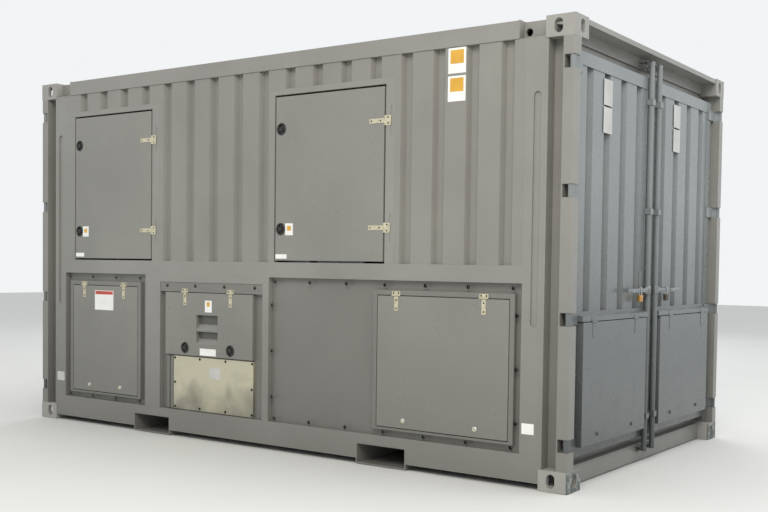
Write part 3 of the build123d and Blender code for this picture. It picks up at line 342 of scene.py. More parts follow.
def fastener_tree(name, sides, material):
    """Flange and tapered head, stamped on the points of the carrier mesh and turned at random."""
    tree = bpy.data.node_groups.new(name, "GeometryNodeTree")
    face = tree.interface
    face.new_socket("Geometry", in_out="INPUT", socket_type="NodeSocketGeometry")
    for label, value in (("Head Radius", 0.0085), ("Head Height", 0.006), ("Flange Radius", 0.012)):
        face.new_socket(label, in_out="INPUT", socket_type="NodeSocketFloat").default_value = value
    face.new_socket("Geometry", in_out="OUTPUT", socket_type="NodeSocketGeometry")
    inlet = add_node(tree, "NodeGroupInput")
    head = add_node(tree, "GeometryNodeMeshCone", {"Vertices": sides, "fill_type": "NGON"},
                    {"Radius Bottom": (inlet, "Head Radius"), "Depth": (inlet, "Head Height")})
    top = add_node(tree, "ShaderNodeMath", {"operation": "MULTIPLY", 1: 0.86}, {0: (inlet, "Head Radius")})
    tree.links.new(top.outputs["Value"], head.inputs["Radius Top"])
    flange_depth = add_node(tree, "ShaderNodeMath", {"operation": "MULTIPLY", 1: 0.28},
                            {0: (inlet, "Head Height")})
    flange = add_node(tree, "GeometryNodeMeshCylinder", {"Vertices": 12, "fill_type": "NGON"},
                      {"Radius": (inlet, "Flange Radius"), "Depth": (flange_depth, "Value")})
    both = add_node(tree, "GeometryNodeJoinGeometry", links={"Geometry": (head, "Mesh")})
    tree.links.new(flange.outputs["Mesh"], both.inputs["Geometry"])
    facing = add_node(tree, "GeometryNodeInputNormal")
    upright = add_node(tree, "FunctionNodeAlignRotationToVector", {"axis": "Z"},
                       {"Vector": (facing, "Normal")})
    spin = add_node(tree, "FunctionNodeRandomValue", {"data_type": "FLOAT", "Seed": 7})
    spin.inputs[3].default_value = 1.05
    turn = add_node(tree, "ShaderNodeCombineXYZ", links={"Z": (spin, 1)})
    euler = add_node(tree, "FunctionNodeEulerToRotation", links={"Euler": (turn, "Vector")})
    pose = add_node(tree, "FunctionNodeRotateRotation", {"rotation_space": "LOCAL"},
                    {"Rotation": (upright, "Rotation"), "Rotate By": (euler, "Rotation")})
    stamped = add_node(tree, "GeometryNodeInstanceOnPoints",
                       links={"Points": (inlet, "Geometry"), "Instance": (both, "Geometry"),
                              "Rotation": (pose, "Rotation")})
    real = add_node(tree, "GeometryNodeRealizeInstances", links={"Geometry": (stamped, "Instances")})
    coated = add_node(tree, "GeometryNodeSetMaterial", {"Material": material},
                      {"Geometry": (real, "Geometry")})
    outlet = add_node(tree, "NodeGroupOutput")
    tree.links.new(coated.outputs["Geometry"], outlet.inputs["Geometry"])
    return tree


def stamp_fasteners(name, tree, points, facing, body, slot_name, **sizes):
    """Fasteners at points given in metres, heads facing one way, as one plain mesh on one body."""
    carrier = bpy.data.meshes.new(name + "_places")
    side = Vector(facing).orthogonal().normalized() * 1e-5
    other = Vector(facing).normalized().cross(side)
    corners, faces = [], []
    for point in points:
        middle = Vector(point)
        start = len(corners)
        corners += [middle, middle + side, middle + other]
        faces.append((start, start + 1, start + 2))
    carrier.from_pydata(corners, [], faces)
    holder = bpy.data.objects.new(name + "_places", carrier)
    bpy.context.scene.collection.objects.link(holder)
    pick = holder.modifiers.new("places", "NODES")
    pick.node_group = tree
    sockets = {item.name: item.identifier for item in tree.interface.items_tree
               if item.item_type == "SOCKET" and item.in_out == "INPUT"}
    for label, value in sizes.items():
        pick[sockets[label.replace("_", " ")]] = value
    bpy.context.view_layer.update()
    ready = holder.evaluated_get(bpy.context.evaluated_depsgraph_get())
    mesh = bpy.data.meshes.new_from_object(ready)
    mesh.name = name
    bpy.data.objects.remove(holder)
    return new_piece(name, mesh, body, slot_name)


# Bolt heads are sprayed over with the plates, so they take the plates' enamel, with its painted shade
# made a touch darker still.
bolt_paint = painted_steel("grey_enamel_on_bolt_heads", "#77766F", "#6A6963", wave=0.0)
painted_bolt = fastener_tree("painted_flange_bolt", 6, bolt_paint)
plate_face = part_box("recess_plates")[0].y
hatch_left_low, hatch_left_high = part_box("hatch_left")
hatch_right_low, hatch_right_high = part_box("hatch_right")
flap_low, flap_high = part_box("hatch_centre")


def spread_out(start, end, count):
    """Evenly spaced places from start to end, both included."""
    return [start + (end - start) * i / (count - 1) for i in range(count)]


bolt_places = []
bay_left_start, bay_left_end = hatch_left_low.x - 90 * mm, hatch_left_high.x + 90 * mm
bay_right_start, bay_right_end = hatch_right_low.x - 890 * mm, hatch_right_high.x + 80 * mm
top_row, bottom_row = hatch_left_high.z + 66 * mm, hatch_left_low.z - 34 * mm
for x in spread_out(bay_left_start + 58 * mm, bay_left_end - 58 * mm, 4):
    bolt_places += [(x, plate_face, top_row), (x, plate_face, bottom_row)]
for x in spread_out(bay_right_start + 55 * mm, bay_right_end - 55 * mm, 7):
    bolt_places += [(x, plate_face, top_row), (x, plate_face, bottom_row)]
for z in spread_out(hatch_right_low.z + 105 * mm, hatch_right_high.z - 87 * mm, 3):
    bolt_places += [(bay_right_start + 30 * mm, plate_face, z), (bay_right_end - 28 * mm, plate_face, z)]
for x in spread_out(flap_low.x + 18 * mm, flap_high.x + 18 * mm, 4):
    bolt_places.append((x, plate_face, flap_high.z + 47 * mm))
stamp_fasteners("recess_plate_bolts", painted_bolt, bolt_places, (0, -1, 0), "container", "grey_paint",
                Head_Radius=bolt_across / 2, Head_Height=bolt_pull, Flange_Radius=12 * mm)

# ==== Connection panel ===========================================================================
# Removable bare aluminium panel under the centre flap, where load cables enter. Mill finish with a
# horizontal rolling grain, dulled by weather, held by dark pan-head screws.
mill_aluminium, tree, shader = new_material("mill_finish_aluminium", Metallic=0.75)
where = add_node(tree, "ShaderNodeTexCoord")
rolled = add_node(tree, "ShaderNodeMapping", {"Scale": (1.0, 1.0, 45.0)}, {"Vector": (where, "Object")})
grain = add_node(tree, "ShaderNodeTexNoise", {"Scale": 7.0, "Detail": 6.0, "Roughness": 0.7},
                 {"Vector": (rolled, "Vector")})
stain = add_node(tree, "ShaderNodeTexNoise", {"Scale": 5.0, "Detail": 4.0, "Distortion": 0.6},
                 {"Vector": (where, "Object")})
height = add_node(tree, "ShaderNodeSeparateXYZ", links={"Vector": (where, "Object")})
panel_low, panel_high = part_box("connection_plate")
# The tone runs from darker at the foot of the panel to lighter at its top.
fade = add_node(tree, "ShaderNodeMapRange",
                {"From Min": panel_low.z, "From Max": panel_high.z, "To Min": 0.1,
                "To Max": 0.75}, {"Value": (height, "Z")})
shade = add_node(tree, "ShaderNodeMath", {"operation": "ADD"}, {0: (fade, "Result"), 1: (stain, "Fac")})
tone = two_tones(tree, (shade, "Value"), "#6E6E67", "#C9C5AE", 0.35, 1.25)
tree.links.new(tone.outputs["Color"], shader.inputs["Base Color"])
rough = add_node(tree, "ShaderNodeMapRange", {"To Min": 0.36, "To Max": 0.58}, {"Value": (stain, "Fac")})
tree.links.new(rough.outputs["Result"], shader.inputs["Roughness"])
lines = add_node(tree, "ShaderNodeBump", {"Strength": 0.12, "Distance": 0.0004}, {"Height": (grain, "Fac")})
tree.links.new(lines.outputs["Normal"], shader.inputs["Normal"])
finish_nodes(mill_aluminium, ["connection_plate"])

# Blackened steel pan-head screws: dark and slightly glossy.
black_steel = worn_metal("blackened_steel", "#3A3A38", "#232323", 0.5, 0.42, scale=90.0)
dark_screw = fastener_tree("dark_pan_head_screw", 12, black_steel)
screw_places = [(x, panel_low.y, panel_high.z - 14 * mm)
                for x in spread_out(panel_low.x + 12 * mm, panel_high.x - 10 * mm, 4)]
screw_places += [(x, panel_low.y, panel_low.z + 16 * mm)
                 for x in spread_out(panel_low.x + 14 * mm, panel_high.x - 10 * mm, 4)]
screw_places += [(panel_low.x + 12 * mm, panel_low.y, (panel_low.z + panel_high.z) / 2),
                 (panel_high.x - 12 * mm, panel_low.y, (panel_low.z + panel_high.z) / 2)]
stamp_fasteners("connection_panel_screws", dark_screw, screw_places, (0, -1, 0), "container", "black_lock",
                Head_Radius=7 * mm, Head_Height=3.5 * mm, Flange_Radius=9 * mm)

# ==== Strap hinges ===============================================================================
# Yellow-zinc strap hinges on the doors and hatches: stamped steel with a pale gold passivated
# plating, each fixed by dark pan-head screws, two in the strap and two in the short leaf.
yellow_zinc = worn_metal("yellow_passivated_zinc_plate", "#DAD4BB", "#B8B194", 0.5, 0.32, scale=55.0,
                         bump=0.1)
finish_nodes(yellow_zinc, ["access_straps_left", "access_straps_right", "hatch_left_fittings",
                           "hatch_right_fittings", "hatch_centre_fittings", "fixed_hinge_leaves"])
hinge_screw = fastener_tree("hinge_screw", 10, black_steel)
strap_thick = 2.5 * mm
leaf_screws = (-18 * mm, 18 * mm)     # either side of the middle of a short leaf
skin_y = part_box("access_door_left")[0].y
screw_sizes = dict(Head_Radius=4.6 * mm, Head_Height=1.8 * mm, Flange_Radius=5.2 * mm)
for side, node in (("left", "access_door_left"), ("right", "access_door_right")):
    low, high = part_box("access_straps_" + side)
    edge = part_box(node)[1].x
    levels = (low.z + 30 * mm, high.z - 14 * mm)
    spots = [(edge - step, skin_y - strap_thick, z) for z in levels for step in (28 * mm, 96 * mm)]
    stamp_fasteners("access_strap_screws_" + side, hinge_screw, spots, (0, -1, 0), node, "yellow_zinc",
                    **screw_sizes)
    spots = [(edge + 30 * mm, skin_y - strap_thick, z + up) for z in levels for up in leaf_screws]
    stamp_fasteners("access_leaf_screws_" + side, hinge_screw, spots, (0, -1, 0), "container",
                    "yellow_zinc",
                    **screw_sizes)
strap_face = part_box("hatch_left")[0].y - strap_thick
hatch_straps = {
    "hatch_left": [hatch_left_low.x + 130 * mm, hatch_left_high.x - 150 * mm],
    "hatch_right": [hatch_right_low.x + 138 * mm, hatch_right_high.x - 165 * mm],
    "hatch_centre": [flap_low.x + 197 * mm, flap_high.x - 205 * mm],
}
for node, places in hatch_straps.items():
    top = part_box(node)[1].z
    spots = [(x, strap_face, top - down) for x in places for down in (24 * mm, 74 * mm)]
    stamp_fasteners(node + "_strap_screws", hinge_screw, spots, (0, -1, 0), node, "yellow_zinc",
                    **screw_sizes)
    spots = [(x + off, strap_face, top + 18 * mm) for x in places for off in leaf_screws]
    stamp_fasteners(node + "_leaf_screws", hinge_screw, spots, (0, -1, 0), "container", "yellow_zinc",
                    **screw_sizes)

# ==== Quarter-turn studs =========================================================================
# Two chrome quarter-turn fasteners at the foot of each lift-up hatch: a turned collar on the sheet
# with a small wing across it, cold-forged and polished.
polished_chrome = worn_metal("chrome_plated_steel", "#F2F3F3", "#C4C7C9", 1.0, 0.12, scale=70.0, bump=0.04)


def turned(bm, profile, centre, axis, steps=28, squash=1.0):
    """Turns a profile of (radius, distance along the axis) about an axis, closed at both ends."""
    axis = Vector(axis).normalized()
    side = axis.orthogonal().normalized()
    other = axis.cross(side)
    rings = []
    for radius, along in profile:
        middle = Vector(centre) + axis * along
        if radius < 1e-7:
            rings.append([bm.verts.new(middle)])
            continue
        rings.append([bm.verts.new(middle + side * (radius * math.cos(2 * math.pi * i / steps))
                                   + other * (radius * squash * math.sin(2 * math.pi * i / steps)))
                      for i in range(steps)])
    for first, second in zip(rings, rings[1:]):
        for i in range(steps):
            j = (i + 1) % steps
            if len(first) == 1:
                bm.faces.new((first[0], second[j], second[i]))
            elif len(second) == 1:
                bm.faces.new((first[i], first[j], second[0]))
            else:
                bm.faces.new((first[i], first[j], second[j], second[i]))
    if len(rings[0]) > 1:
        bm.faces.new(rings[0][::-1])
    if len(rings[-1]) > 1:
        bm.faces.new(rings[-1])


def add_part(bm, part):
    """Adds one loose mesh to another and frees it."""
    scratch = bpy.data.meshes.new("scratch")
    part.to_mesh(scratch)
    bm.from_mesh(scratch)
    bpy.data.meshes.remove(scratch)
    part.free()


def eased_block(bm, low, high, edge=1.0 * mm, turn=None, segments=2):
    """Rectangular bar with eased edges, optionally turned by a matrix about the object's origin."""
    part = bmesh.new()
    bmesh.ops.create_cube(part, size=1.0)
    size = [abs(h - l) for l, h in zip(low, high)]
    middle = [(l + h) / 2 for l, h in zip(low, high)]
    for vertex in part.verts:
        vertex.co = Vector([c * s + m for c, s, m in zip(vertex.co, size, middle)])
    if edge > 0:
        bmesh.ops.bevel(part, geom=part.edges[:], offset=min(edge, min(size) * 0.45), segments=segments,
                        profile=0.6, affect="EDGES")
    if turn is not None:
        part.transform(turn)
    add_part(bm, part)


def to_mesh(bm, name, smooth_below=35):
    """Plain mesh with outward faces, smooth except across real edges."""
    bmesh.ops.recalc_face_normals(bm, faces=bm.faces[:])
    mesh = bpy.data.meshes.new(name)
    bm.to_mesh(mesh)
    bm.free()
    mesh.polygons.foreach_set("use_smooth", [True] * len(mesh.polygons))
    mesh.set_sharp_from_angle(angle=math.radians(smooth_below))
    return mesh


stud_places = {
    "hatch_left": [hatch_left_low.x + 190 * mm, hatch_left_high.x - 187 * mm],
    "hatch_right": [hatch_right_low.x + 197 * mm, hatch_right_high.x - 215 * mm],
}
for node, places in stud_places.items():
    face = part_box(node)[0].y
    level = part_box(node)[0].z + 46 * mm
    bm = bmesh.new()
    for x in places:
        turned(bm, [(0, 0.2 * mm), (15 * mm, 0.2 * mm), (15 * mm, -1.8 * mm), (13 * mm, -3.2 * mm),
                    (9.6 * mm, -4 * mm),
                    (9 * mm, -7.4 * mm), (7.6 * mm, -8.4 * mm), (0, -8.4 * mm)], (x, face, level),
                    (0, 1, 0))
        wing = Matrix.Translation((x, face - 8.2 * mm, level)) @ Matrix.Rotation(math.radians(28), 4, "Y")
        eased_block(bm, (-2.4 * mm, -0.6 * mm, -12 * mm), (2.4 * mm, 1.5 * mm, 12 * mm), 0.8 * mm, wing)
    new_piece(node + "_studs", to_mesh(bm, node + "_studs"), node, "yellow_zinc", polished_chrome)

# ==== Round flush locks ==========================================================================
# Flush paddle latches: a black moulded cup with a rolled rim set in the sheet, an off-centre finger
# well and a small paddle in it. Four are on the access doors and two on the flap.
moulded_black = worn_metal("moulded_glass_filled_nylon", "#2E2E2D", "#1D1D1D", 0.0, 0.38, scale=1 / 0.003,
                           bump=0.12)
CUP_DEPTH = 11 * mm
worn_cup = worn_metal("painted_zinc_cup", "#6D6C66", "#4F4E4A", 0.1, 0.4, scale=30.0)
for node in ("access_lock_left_lower", "access_lock_left_upper", "access_lock_right_lower",
             "access_lock_right_upper", "flap_lock_left", "flap_lock_right"):
    low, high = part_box(node)
    radius = (high.z - low.z) / 2
    centre = Vector((high.x - radius, low.y, (low.z + high.z) / 2))
    bm = bmesh.new()
    turned(bm, [(0, CUP_DEPTH), (radius * 0.82, CUP_DEPTH), (radius * 0.86, 1.2 * mm),
                (radius * 0.9, -0.8 * mm),
                (radius * 0.96, -1.0 * mm), (radius, 0.4 * mm), (radius, CUP_DEPTH + 0.5 * mm),
                (0, CUP_DEPTH + 0.5 * mm)],
           centre, (0, 1, 0), 40)
    eased_block(bm, (centre.x - radius * 0.72, centre.y + 3 * mm, centre.z - radius * 0.42),
                (centre.x + radius * 0.02, centre.y + CUP_DEPTH, centre.z + radius * 0.42), 2.5 * mm)
    eased_block(bm, (centre.x + radius * 0.02, centre.y + 5 * mm, centre.z - radius * 0.3),
                (centre.x + radius * 0.2, centre.y + CUP_DEPTH, centre.z + radius * 0.3), 1.5 * mm)
    turned(bm, [(0, CUP_DEPTH), (7 * mm, CUP_DEPTH), (7 * mm, 6 * mm), (6 * mm, 5 * mm), (0, 5 * mm)],
           centre + Vector((radius * 0.5, 0, 0)), (0, 1, 0), 20)
    eased_block(bm, (low.x + 1 * mm, high.y - 6 * mm, centre.z - 8 * mm),
                (centre.x + 8 * mm, high.y - 0.5 * mm, centre.z + 8 * mm), 1 * mm)
    turned(bm, [(0, CUP_DEPTH), (12 * mm, CUP_DEPTH), (12 * mm, high.y - low.y - 5 * mm),
                (0, high.y - low.y - 5 * mm)], centre, (0, 1, 0), 20)
    cup = new_piece(node + "_cup", to_mesh(bm, node + "_cup"), node, "black_lock", moulded_black)
    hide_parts(node)
    # A thin pressed ring trims the hole in the sheet.
    bm = bmesh.new()
    turned(bm, [(radius + 0.5 * mm, 0.2 * mm), (radius + 5 * mm, 0.2 * mm), (radius + 4.6 * mm, -0.9 * mm),
                (radius + 1.2 * mm, -1.3 * mm), (radius + 0.5 * mm, -0.6 * mm)], centre, (0, 1, 0), 40)
    host = ("access_door_" + node.split("_")[2]) if node.startswith("access") else "hatch_centre"
    bmesh.ops.delete(bm, geom=[f for f in bm.faces if len(f.verts) > 4], context="FACES_ONLY")
    new_piece(node + "_trim_ring", to_mesh(bm, node + "_trim_ring"), host, "grey_paint", worn_cup)

# ==== Blank labels ===============================================================================
# Screen-printed vinyl labels with nothing on them: white, some with a plain coloured block where a
# symbol would go. Edges lift a little in the light; they sit 0.5 mm proud of the paint.


def vinyl(name, light, dark):
    """Gloss-laminated vinyl: even colour, slight yellowing and soft ripples."""
    finish, tree, shader = new_material(name, IOR=1.48, Coat_Weight=0.3, Coat_Roughness=0.15)
    where = add_node(tree, "ShaderNodeTexCoord")
    age = add_node(tree, "ShaderNodeTexNoise", {"Scale": 9.0, "Detail": 4.0}, {"Vector": (where, "Object")})
    tone = two_tones(tree, (age, "Fac"), dark, light, 0.3, 0.7)
    tree.links.new(tone.outputs["Color"], shader.inputs["Base Color"])
    rough = add_node(tree, "ShaderNodeMapRange", {"To Min": 0.3, "To Max": 0.5}, {"Value": (age, "Fac")})
    tree.links.new(rough.outputs["Result"], shader.inputs["Roughness"])
    ripple = add_node(tree, "ShaderNodeTexNoise", {"Scale": 1 / 0.02, "Detail": 1.0},
                      {"Vector": (where, "Object")})
    lift = add_node(tree, "ShaderNodeBump", {"Strength": 0.12, "Distance": 0.001},
                    {"Height": (ripple, "Fac")})
    tree.links.new(lift.outputs["Normal"], shader.inputs["Normal"])
    return finish


white_vinyl = vinyl("white_vinyl_label", "#EDEDEB", "#DEDEDA")
red_vinyl = vinyl("red_vinyl_band", "#C2432F", "#A83A2A")
yellow_vinyl = vinyl("yellow_vinyl_block", "#D9A83A", "#C7962E")
grey_vinyl = vinyl("silver_grey_vinyl_label", "#BFBFBB", "#ACACA7")


def label(name, body, outward, face, across, up, blocks=(), base=None):
    """Blank label: a rounded sheet on a face, with plain colour blocks given as shares of its size."""
    bm = bmesh.new()
    materials = [base or white_vinyl]
    axis = "y" if name.startswith("front") else "x"

    def card(u0, u1, v0, v1, lift_from, lift_to, index):
        ends = []
        for lift in (lift_from, lift_to):
            for u, v in ((u0, v0), (u1, v0), (u1, v1), (u0, v1)):
                ends.append((u, face + outward * lift, v) if axis == "y" else (face + outward * lift, u, v))
        corners = [bm.verts.new(e) for e in ends]
        for ring in ((0, 1, 2, 3), (7, 6, 5, 4), (0, 4, 5, 1), (1, 5, 6, 2), (2, 6, 7, 3), (3, 7, 4, 0)):
            bm.faces.new([corners[i] for i in ring]).material_index = index

    card(across[0], across[1], up[0], up[1], -0.2 * mm, 0.5 * mm, 0)
    for material, u0, u1, v0, v1 in blocks:
        if material not in materials:
            materials.append(material)
        wide, tall = across[1] - across[0], up[1] - up[0]
        card(across[0] + u0 * wide, across[0] + u1 * wide, up[0] + v0 * tall, up[0] + v1 * tall, 0.3 * mm,
             0.8 * mm,
             materials.index(material))
    return new_piece(name, to_mesh(bm, name), body, "grey_paint", *materials)


hatch_face = hatch_left_low.y
left_door_low, left_door_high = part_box("access_door_left")
right_door_low, right_door_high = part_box("access_door_right")
label("front_hatch_notice", "hatch_left", -1, hatch_face,
      (hatch_left_low.x + 250 * mm, hatch_left_low.x + 460 * mm),
      (hatch_left_high.z - 180 * mm, hatch_left_high.z - 35 * mm), [(red_vinyl, 0.03, 0.97, 0.80, 0.97)])
label("front_flap_notice_upper", "hatch_centre", -1, hatch_face,
      (flap_low.x + 393 * mm, flap_low.x + 459 * mm),
      (flap_high.z - 131 * mm, flap_high.z - 50 * mm), [(yellow_vinyl, 0.28, 0.72, 0.48, 0.86)])
label("front_flap_notice_lower", "hatch_centre", -1, hatch_face,
      (flap_low.x + 346 * mm, flap_low.x + 501 * mm),
      (flap_low.z + 7 * mm, flap_low.z + 55 * mm))
label("front_panel_notice", "container", -1, panel_low.y, (panel_low.x + 353 * mm, panel_low.x + 463 * mm),
      (panel_high.z - 142 * mm, panel_high.z - 65 * mm), base=grey_vinyl)
for side, low in (("left", left_door_low), ("right", right_door_low)):
    label("front_door_notice_" + side, "access_door_" + side, -1, skin_y,
          (low.x + 84 * mm, low.x + 150 * mm),
          (low.z + 163 * mm, low.z + 240 * mm), [(yellow_vinyl, 0.25, 0.75, 0.38, 0.78)])
    label("front_door_strip_" + side, "access_door_" + side, -1, skin_y, (low.x + 2 * mm, low.x + 98 * mm),
          (low.z + 12 * mm, low.z + 40 * mm))
rail_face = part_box("front_band")[0].y
label("front_left_plate", "container", -1, rail_face, (-2100 * mm, -2015 * mm), (303 * mm, 370 * mm),
      base=grey_vinyl)
label("front_right_plate", "container", -1, rail_face, (1998 * mm, 2075 * mm), (303 * mm, 363 * mm))
for number, low_z in enumerate((2175, 2335)):
    label("front_wall_notice_%d" % (number + 1), "container", -1, skin_y, (1478 * mm, 1598 * mm),
          (low_z * mm, (low_z + 145) * mm), [(yellow_vinyl, 0.12, 0.88, 0.38, 0.92)])
end_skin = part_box("end_door_east_south")[1].x - 40 * mm
for name, middle in (("end_door_east_south", -671 * mm), ("end_door_east_north", 436 * mm)):
    for number, low_z in enumerate((2010, 2170)):
        label("end_notice_%s_%d" % (name[9:], number + 1), name, 1, end_skin,
              (middle - 60 * mm, middle + 60 * mm), (low_z * mm, (low_z + 150) * mm), base=grey_vinyl)

# ==== End door seals =============================================================================
# Black EPDM lip seals run round each end door leaf and meet at the middle of the opening. They are
# extruded, matt and slightly dusty, and pinch into the gap so no light shows through it.
seal_rubber = worn_metal("extruded_EPDM_rubber", "#2C2C2B", "#1B1B1B", 0.0, 0.75, scale=1 / 0.008, bump=0.2)
seal_lip = 5 * mm
seal_bite = 0.3 * mm                # how far the strip is set into the leaf
for name in corner_names:
    east, north = (1 if "east" in name else -1), (1 if "north" in name else -1)
    low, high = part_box("end_door_" + name)
    plane = (high.x if east > 0 else -low.x) - 40 * mm
    inside, outside = plane - 44 * mm, plane - 20 * mm
    near, far = min(abs(low.y), abs(high.y)), max(abs(low.y), abs(high.y))
    bm = bmesh.new()

    def strip(x0, x1, y0, y1, z0, z1):
        eased_block(bm, (min(east * x0, east * x1), min(north * y0, north * y1), z0),
                    (max(east * x0, east * x1), max(north * y0, north * y1), z1), 1.5 * mm)

    strip(inside, outside, near - seal_lip, near + seal_bite, low.z + 4 * mm, high.z - 4 * mm)
    strip(inside, outside, far - seal_bite, far + seal_lip, low.z + 4 * mm, high.z - 4 * mm)
    strip(inside, outside, near, far, high.z - seal_bite, high.z + seal_lip)
    strip(inside, outside, near, far, low.z - seal_lip, low.z + seal_bite)
    new_piece("door_seal_" + name, to_mesh(bm, "door_seal_" + name), "end_door_" + name, "black_lock",
              seal_rubber)

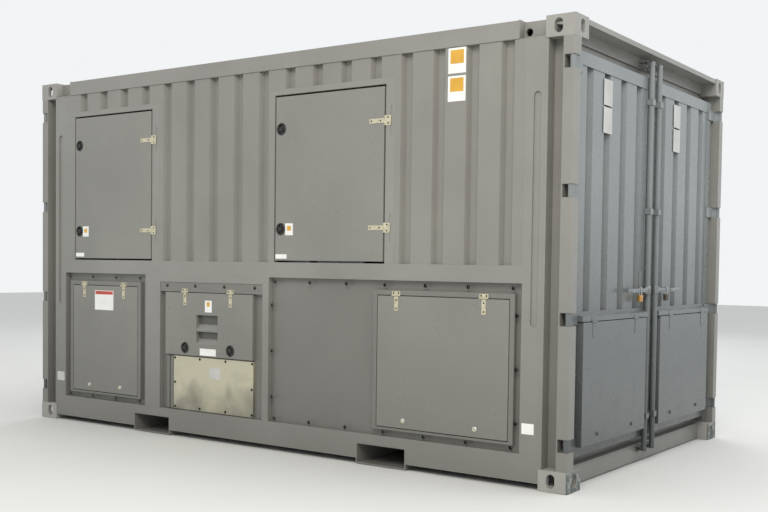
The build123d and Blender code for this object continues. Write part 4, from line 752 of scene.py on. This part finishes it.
# ==== Lock rods, handles and padlocks ============================================================
# Each end door is held by a steel tube with a forged cam at both ends. A forged handle on a bolted
# hub turns it, and a padlock through a hasp holds the handle: brass on one door, weathered on the rest.
scuffed_zinc = worn_metal("scuffed_zinc_on_forged_steel", "#A9ACAD", "#717577", 0.7, 0.36, scale=45.0)
padlock_brass = worn_metal("drawn_brass", "#E0AE62", "#B8823A", 0.9, 0.28, grain=(1, 1, 8), scale=50.0)
weathered_brass = worn_metal("weathered_brass", "#5F5747", "#34302B", 0.5, 0.45, scale=60.0)
hardened_steel = worn_metal("chrome_plated_shackle", "#E6E8E9", "#AEB2B5", 1.0, 0.2, scale=80.0)
handle_thick = 9 * mm
arch_steps, wire_sides = 12, 10
shackle_bow, shackle_wire = 7.5 * mm, 3.2 * mm    # radius of the arch, and of the bar it is bent from
for name in corner_names:
    east, north = (1 if "east" in name else -1), (1 if "north" in name else -1)
    low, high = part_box("lock_rod_" + name)
    front = high.x if east > 0 else -low.x
    rod_x, rod_y, level = front - 29 * mm, 65 * mm, 1095 * mm
    rod = "lock_rod_" + name

    def bar(x0, x1, y0, y1, z0, z1, edge=1.2 * mm, target=None):
        eased_block(target, (min(east * x0, east * x1), min(north * y0, north * y1), z0),
                    (max(east * x0, east * x1), max(north * y0, north * y1), z1), edge)

    def spindle(target, profile, x, y, z, axis=(0, 0, 1), steps=32):
        turned(target, profile, (east * x, north * y, z), axis, steps)

    # Painted tube with a forged cam, welded on with a raised collar, at each end.
    bm = bmesh.new()
    spindle(bm, [(0, low.z), (15.5 * mm, low.z), (17 * mm, low.z + 2 * mm), (17 * mm, high.z - 2 * mm),
                 (15.5 * mm, high.z), (0, high.z)], rod_x, rod_y, 0)
    for cam_level in (low.z + 14 * mm, high.z - 16 * mm):
        spindle(bm, [(16.5 * mm, -10 * mm), (18.2 * mm, -9 * mm), (18.4 * mm, 0), (18.2 * mm, 9 * mm),
                     (16.5 * mm, 10 * mm)], rod_x, rod_y, cam_level)
        bar(rod_x - 38.5 * mm, rod_x + 4 * mm, rod_y - 15 * mm, rod_y + 15 * mm, cam_level - 10 * mm,
            cam_level + 10 * mm, 3 * mm, bm)
    tube = new_piece("lock_tube_" + name, to_mesh(bm, "lock_tube_" + name), rod, "grey_paint", end_enamel_painted_reflection)
    # Handle: flat forging that cranks outward half way along and ends in a rounded grip.
    bm = bmesh.new()
    outer, bend = front - handle_thick, rod_y + 198 * mm
    inner = outer - handle_thick
    bar(inner, outer, rod_y - 2 * mm, bend + 4 * mm, level - 12 * mm, level + 12 * mm, 2.5 * mm, bm)
    bar(inner + handle_thick, outer + 8.6 * mm, bend + 50 * mm, rod_y + 358 * mm,
        level - 12.5 * mm, level + 12.5 * mm, 3 * mm, bm)
    crank = bmesh.new()
    bar(inner, outer, bend - 2 * mm, bend + 58 * mm, level - 12 * mm, level + 12 * mm, 2.0 * mm, crank)
    for vertex in crank.verts:
        share = (abs(vertex.co.y) - bend) / (56 * mm)
        vertex.co.x += east * handle_thick * max(0.0, min(1.0, share))
    add_part(bm, crank)
    spindle(bm, [(17.2 * mm, -24 * mm), (20 * mm, -24 * mm), (21.5 * mm, -22 * mm), (21.5 * mm, 22 * mm),
                 (20 * mm, 24 * mm), (17.2 * mm, 24 * mm)], rod_x + 1.6 * mm, rod_y, level)
    bar(inner - 4 * mm, inner + 1 * mm, rod_y + 10 * mm, rod_y + 64 * mm, level - 19 * mm, level + 19 * mm,
        1.5 * mm, bm)
    for step in (28 * mm, 50 * mm):
        spindle(bm, [(0, 0), (7.5 * mm, 0), (7.5 * mm, 4 * mm), (6 * mm, 5 * mm), (0, 5 * mm)],
                outer - 0.5 * mm,
                rod_y + step, level, (east, 0, 0), 6)
    new_piece("lock_handle_" + name, to_mesh(bm, "lock_handle_" + name, 30), rod, "yellow_zinc",
              scuffed_zinc)
    # Padlock: laminated body with eased corners, keyway plate below, and a shackle over the handle.
    place = rod_y + 150 * mm
    bm = bmesh.new()
    bar(inner - 5 * mm, outer + 5 * mm, place - 26 * mm, place + 26 * mm, level - 69 * mm, level - 27 * mm,
        3.5 * mm, bm)
    spindle(bm, [(0, 0), (8 * mm, 0), (8 * mm, -1.5 * mm), (7 * mm, -2.2 * mm), (0, -2.2 * mm)],
            (inner + outer) / 2,
            place, level - 68.6 * mm, (0, 0, 1), 20)
    body = padlock_brass if name == "east_south" else weathered_brass
    new_piece("padlock_body_" + name, to_mesh(bm, "padlock_body_" + name), rod, "yellow_zinc", body)
    bm = bmesh.new()
    arch = []
    for i in range(arch_steps + 1):
        angle = math.pi * i / arch_steps
        arch.append(((inner + outer) / 2 - math.cos(angle) * shackle_bow,
                     level + 10 * mm + math.sin(angle) * shackle_bow))
    foot = level - 30 * mm
    arch = [(arch[0][0], foot)] + arch + [(arch[-1][0], foot)]
    rings = []
    for i, (x, z) in enumerate(arch):
        before, after = arch[max(i - 1, 0)], arch[min(i + 1, len(arch) - 1)]
        along = Vector((after[0] - before[0], 0, after[1] - before[1])).normalized()
        across = Vector((along.z, 0, -along.x))
        rings.append([bm.verts.new(Vector((east * (x + across.x * shackle_wire * math.cos(t)),
                                           north * (place + shackle_wire * math.sin(t)),
                                           z + across.z * shackle_wire * math.cos(t))))
                      for t in [2 * math.pi * k / wire_sides for k in range(wire_sides)]])
    for first, second in zip(rings, rings[1:]):
        for k in range(wire_sides):
            following = (k + 1) % wire_sides
            bm.faces.new((first[k], first[following], second[following], second[k]))
    bm.faces.new(rings[0])
    bm.faces.new(rings[-1][::-1])
    new_piece("padlock_shackle_" + name, to_mesh(bm, "padlock_shackle_" + name), rod, "yellow_zinc",
              hardened_steel)
    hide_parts("lock_rod_" + name)

# ==== Flap window painted shade ==================================================================
# Shallow pressed pocket in the centre flap, with dark grey sheets set at its back as painted shade
# behind its cross bar.
pocket_painted_shade = painted_steel("painted_shade_in_pocket", "#55554F", "#4A4A46", wave=0.0)
window_x = (flap_low.x + 311 * mm, flap_low.x + 516 * mm)
window_z = (flap_low.z + 85 * mm, flap_low.z + 285 * mm)
bm = bmesh.new()
for z0, z1 in ((window_z[0], window_z[0] + 93 * mm), (window_z[0] + 107 * mm, window_z[1])):
    eased_block(bm, (window_x[0] + 2 * mm, hatch_face + 26 * mm, z0 + 2 * mm),
                (window_x[1] - 2 * mm, hatch_face + 29 * mm, z1 - 2 * mm), 0.8 * mm)
new_piece("flap_window_painted_shade", to_mesh(bm, "flap_window_painted_shade"), "hatch_centre", "grey_paint", pocket_painted_shade)
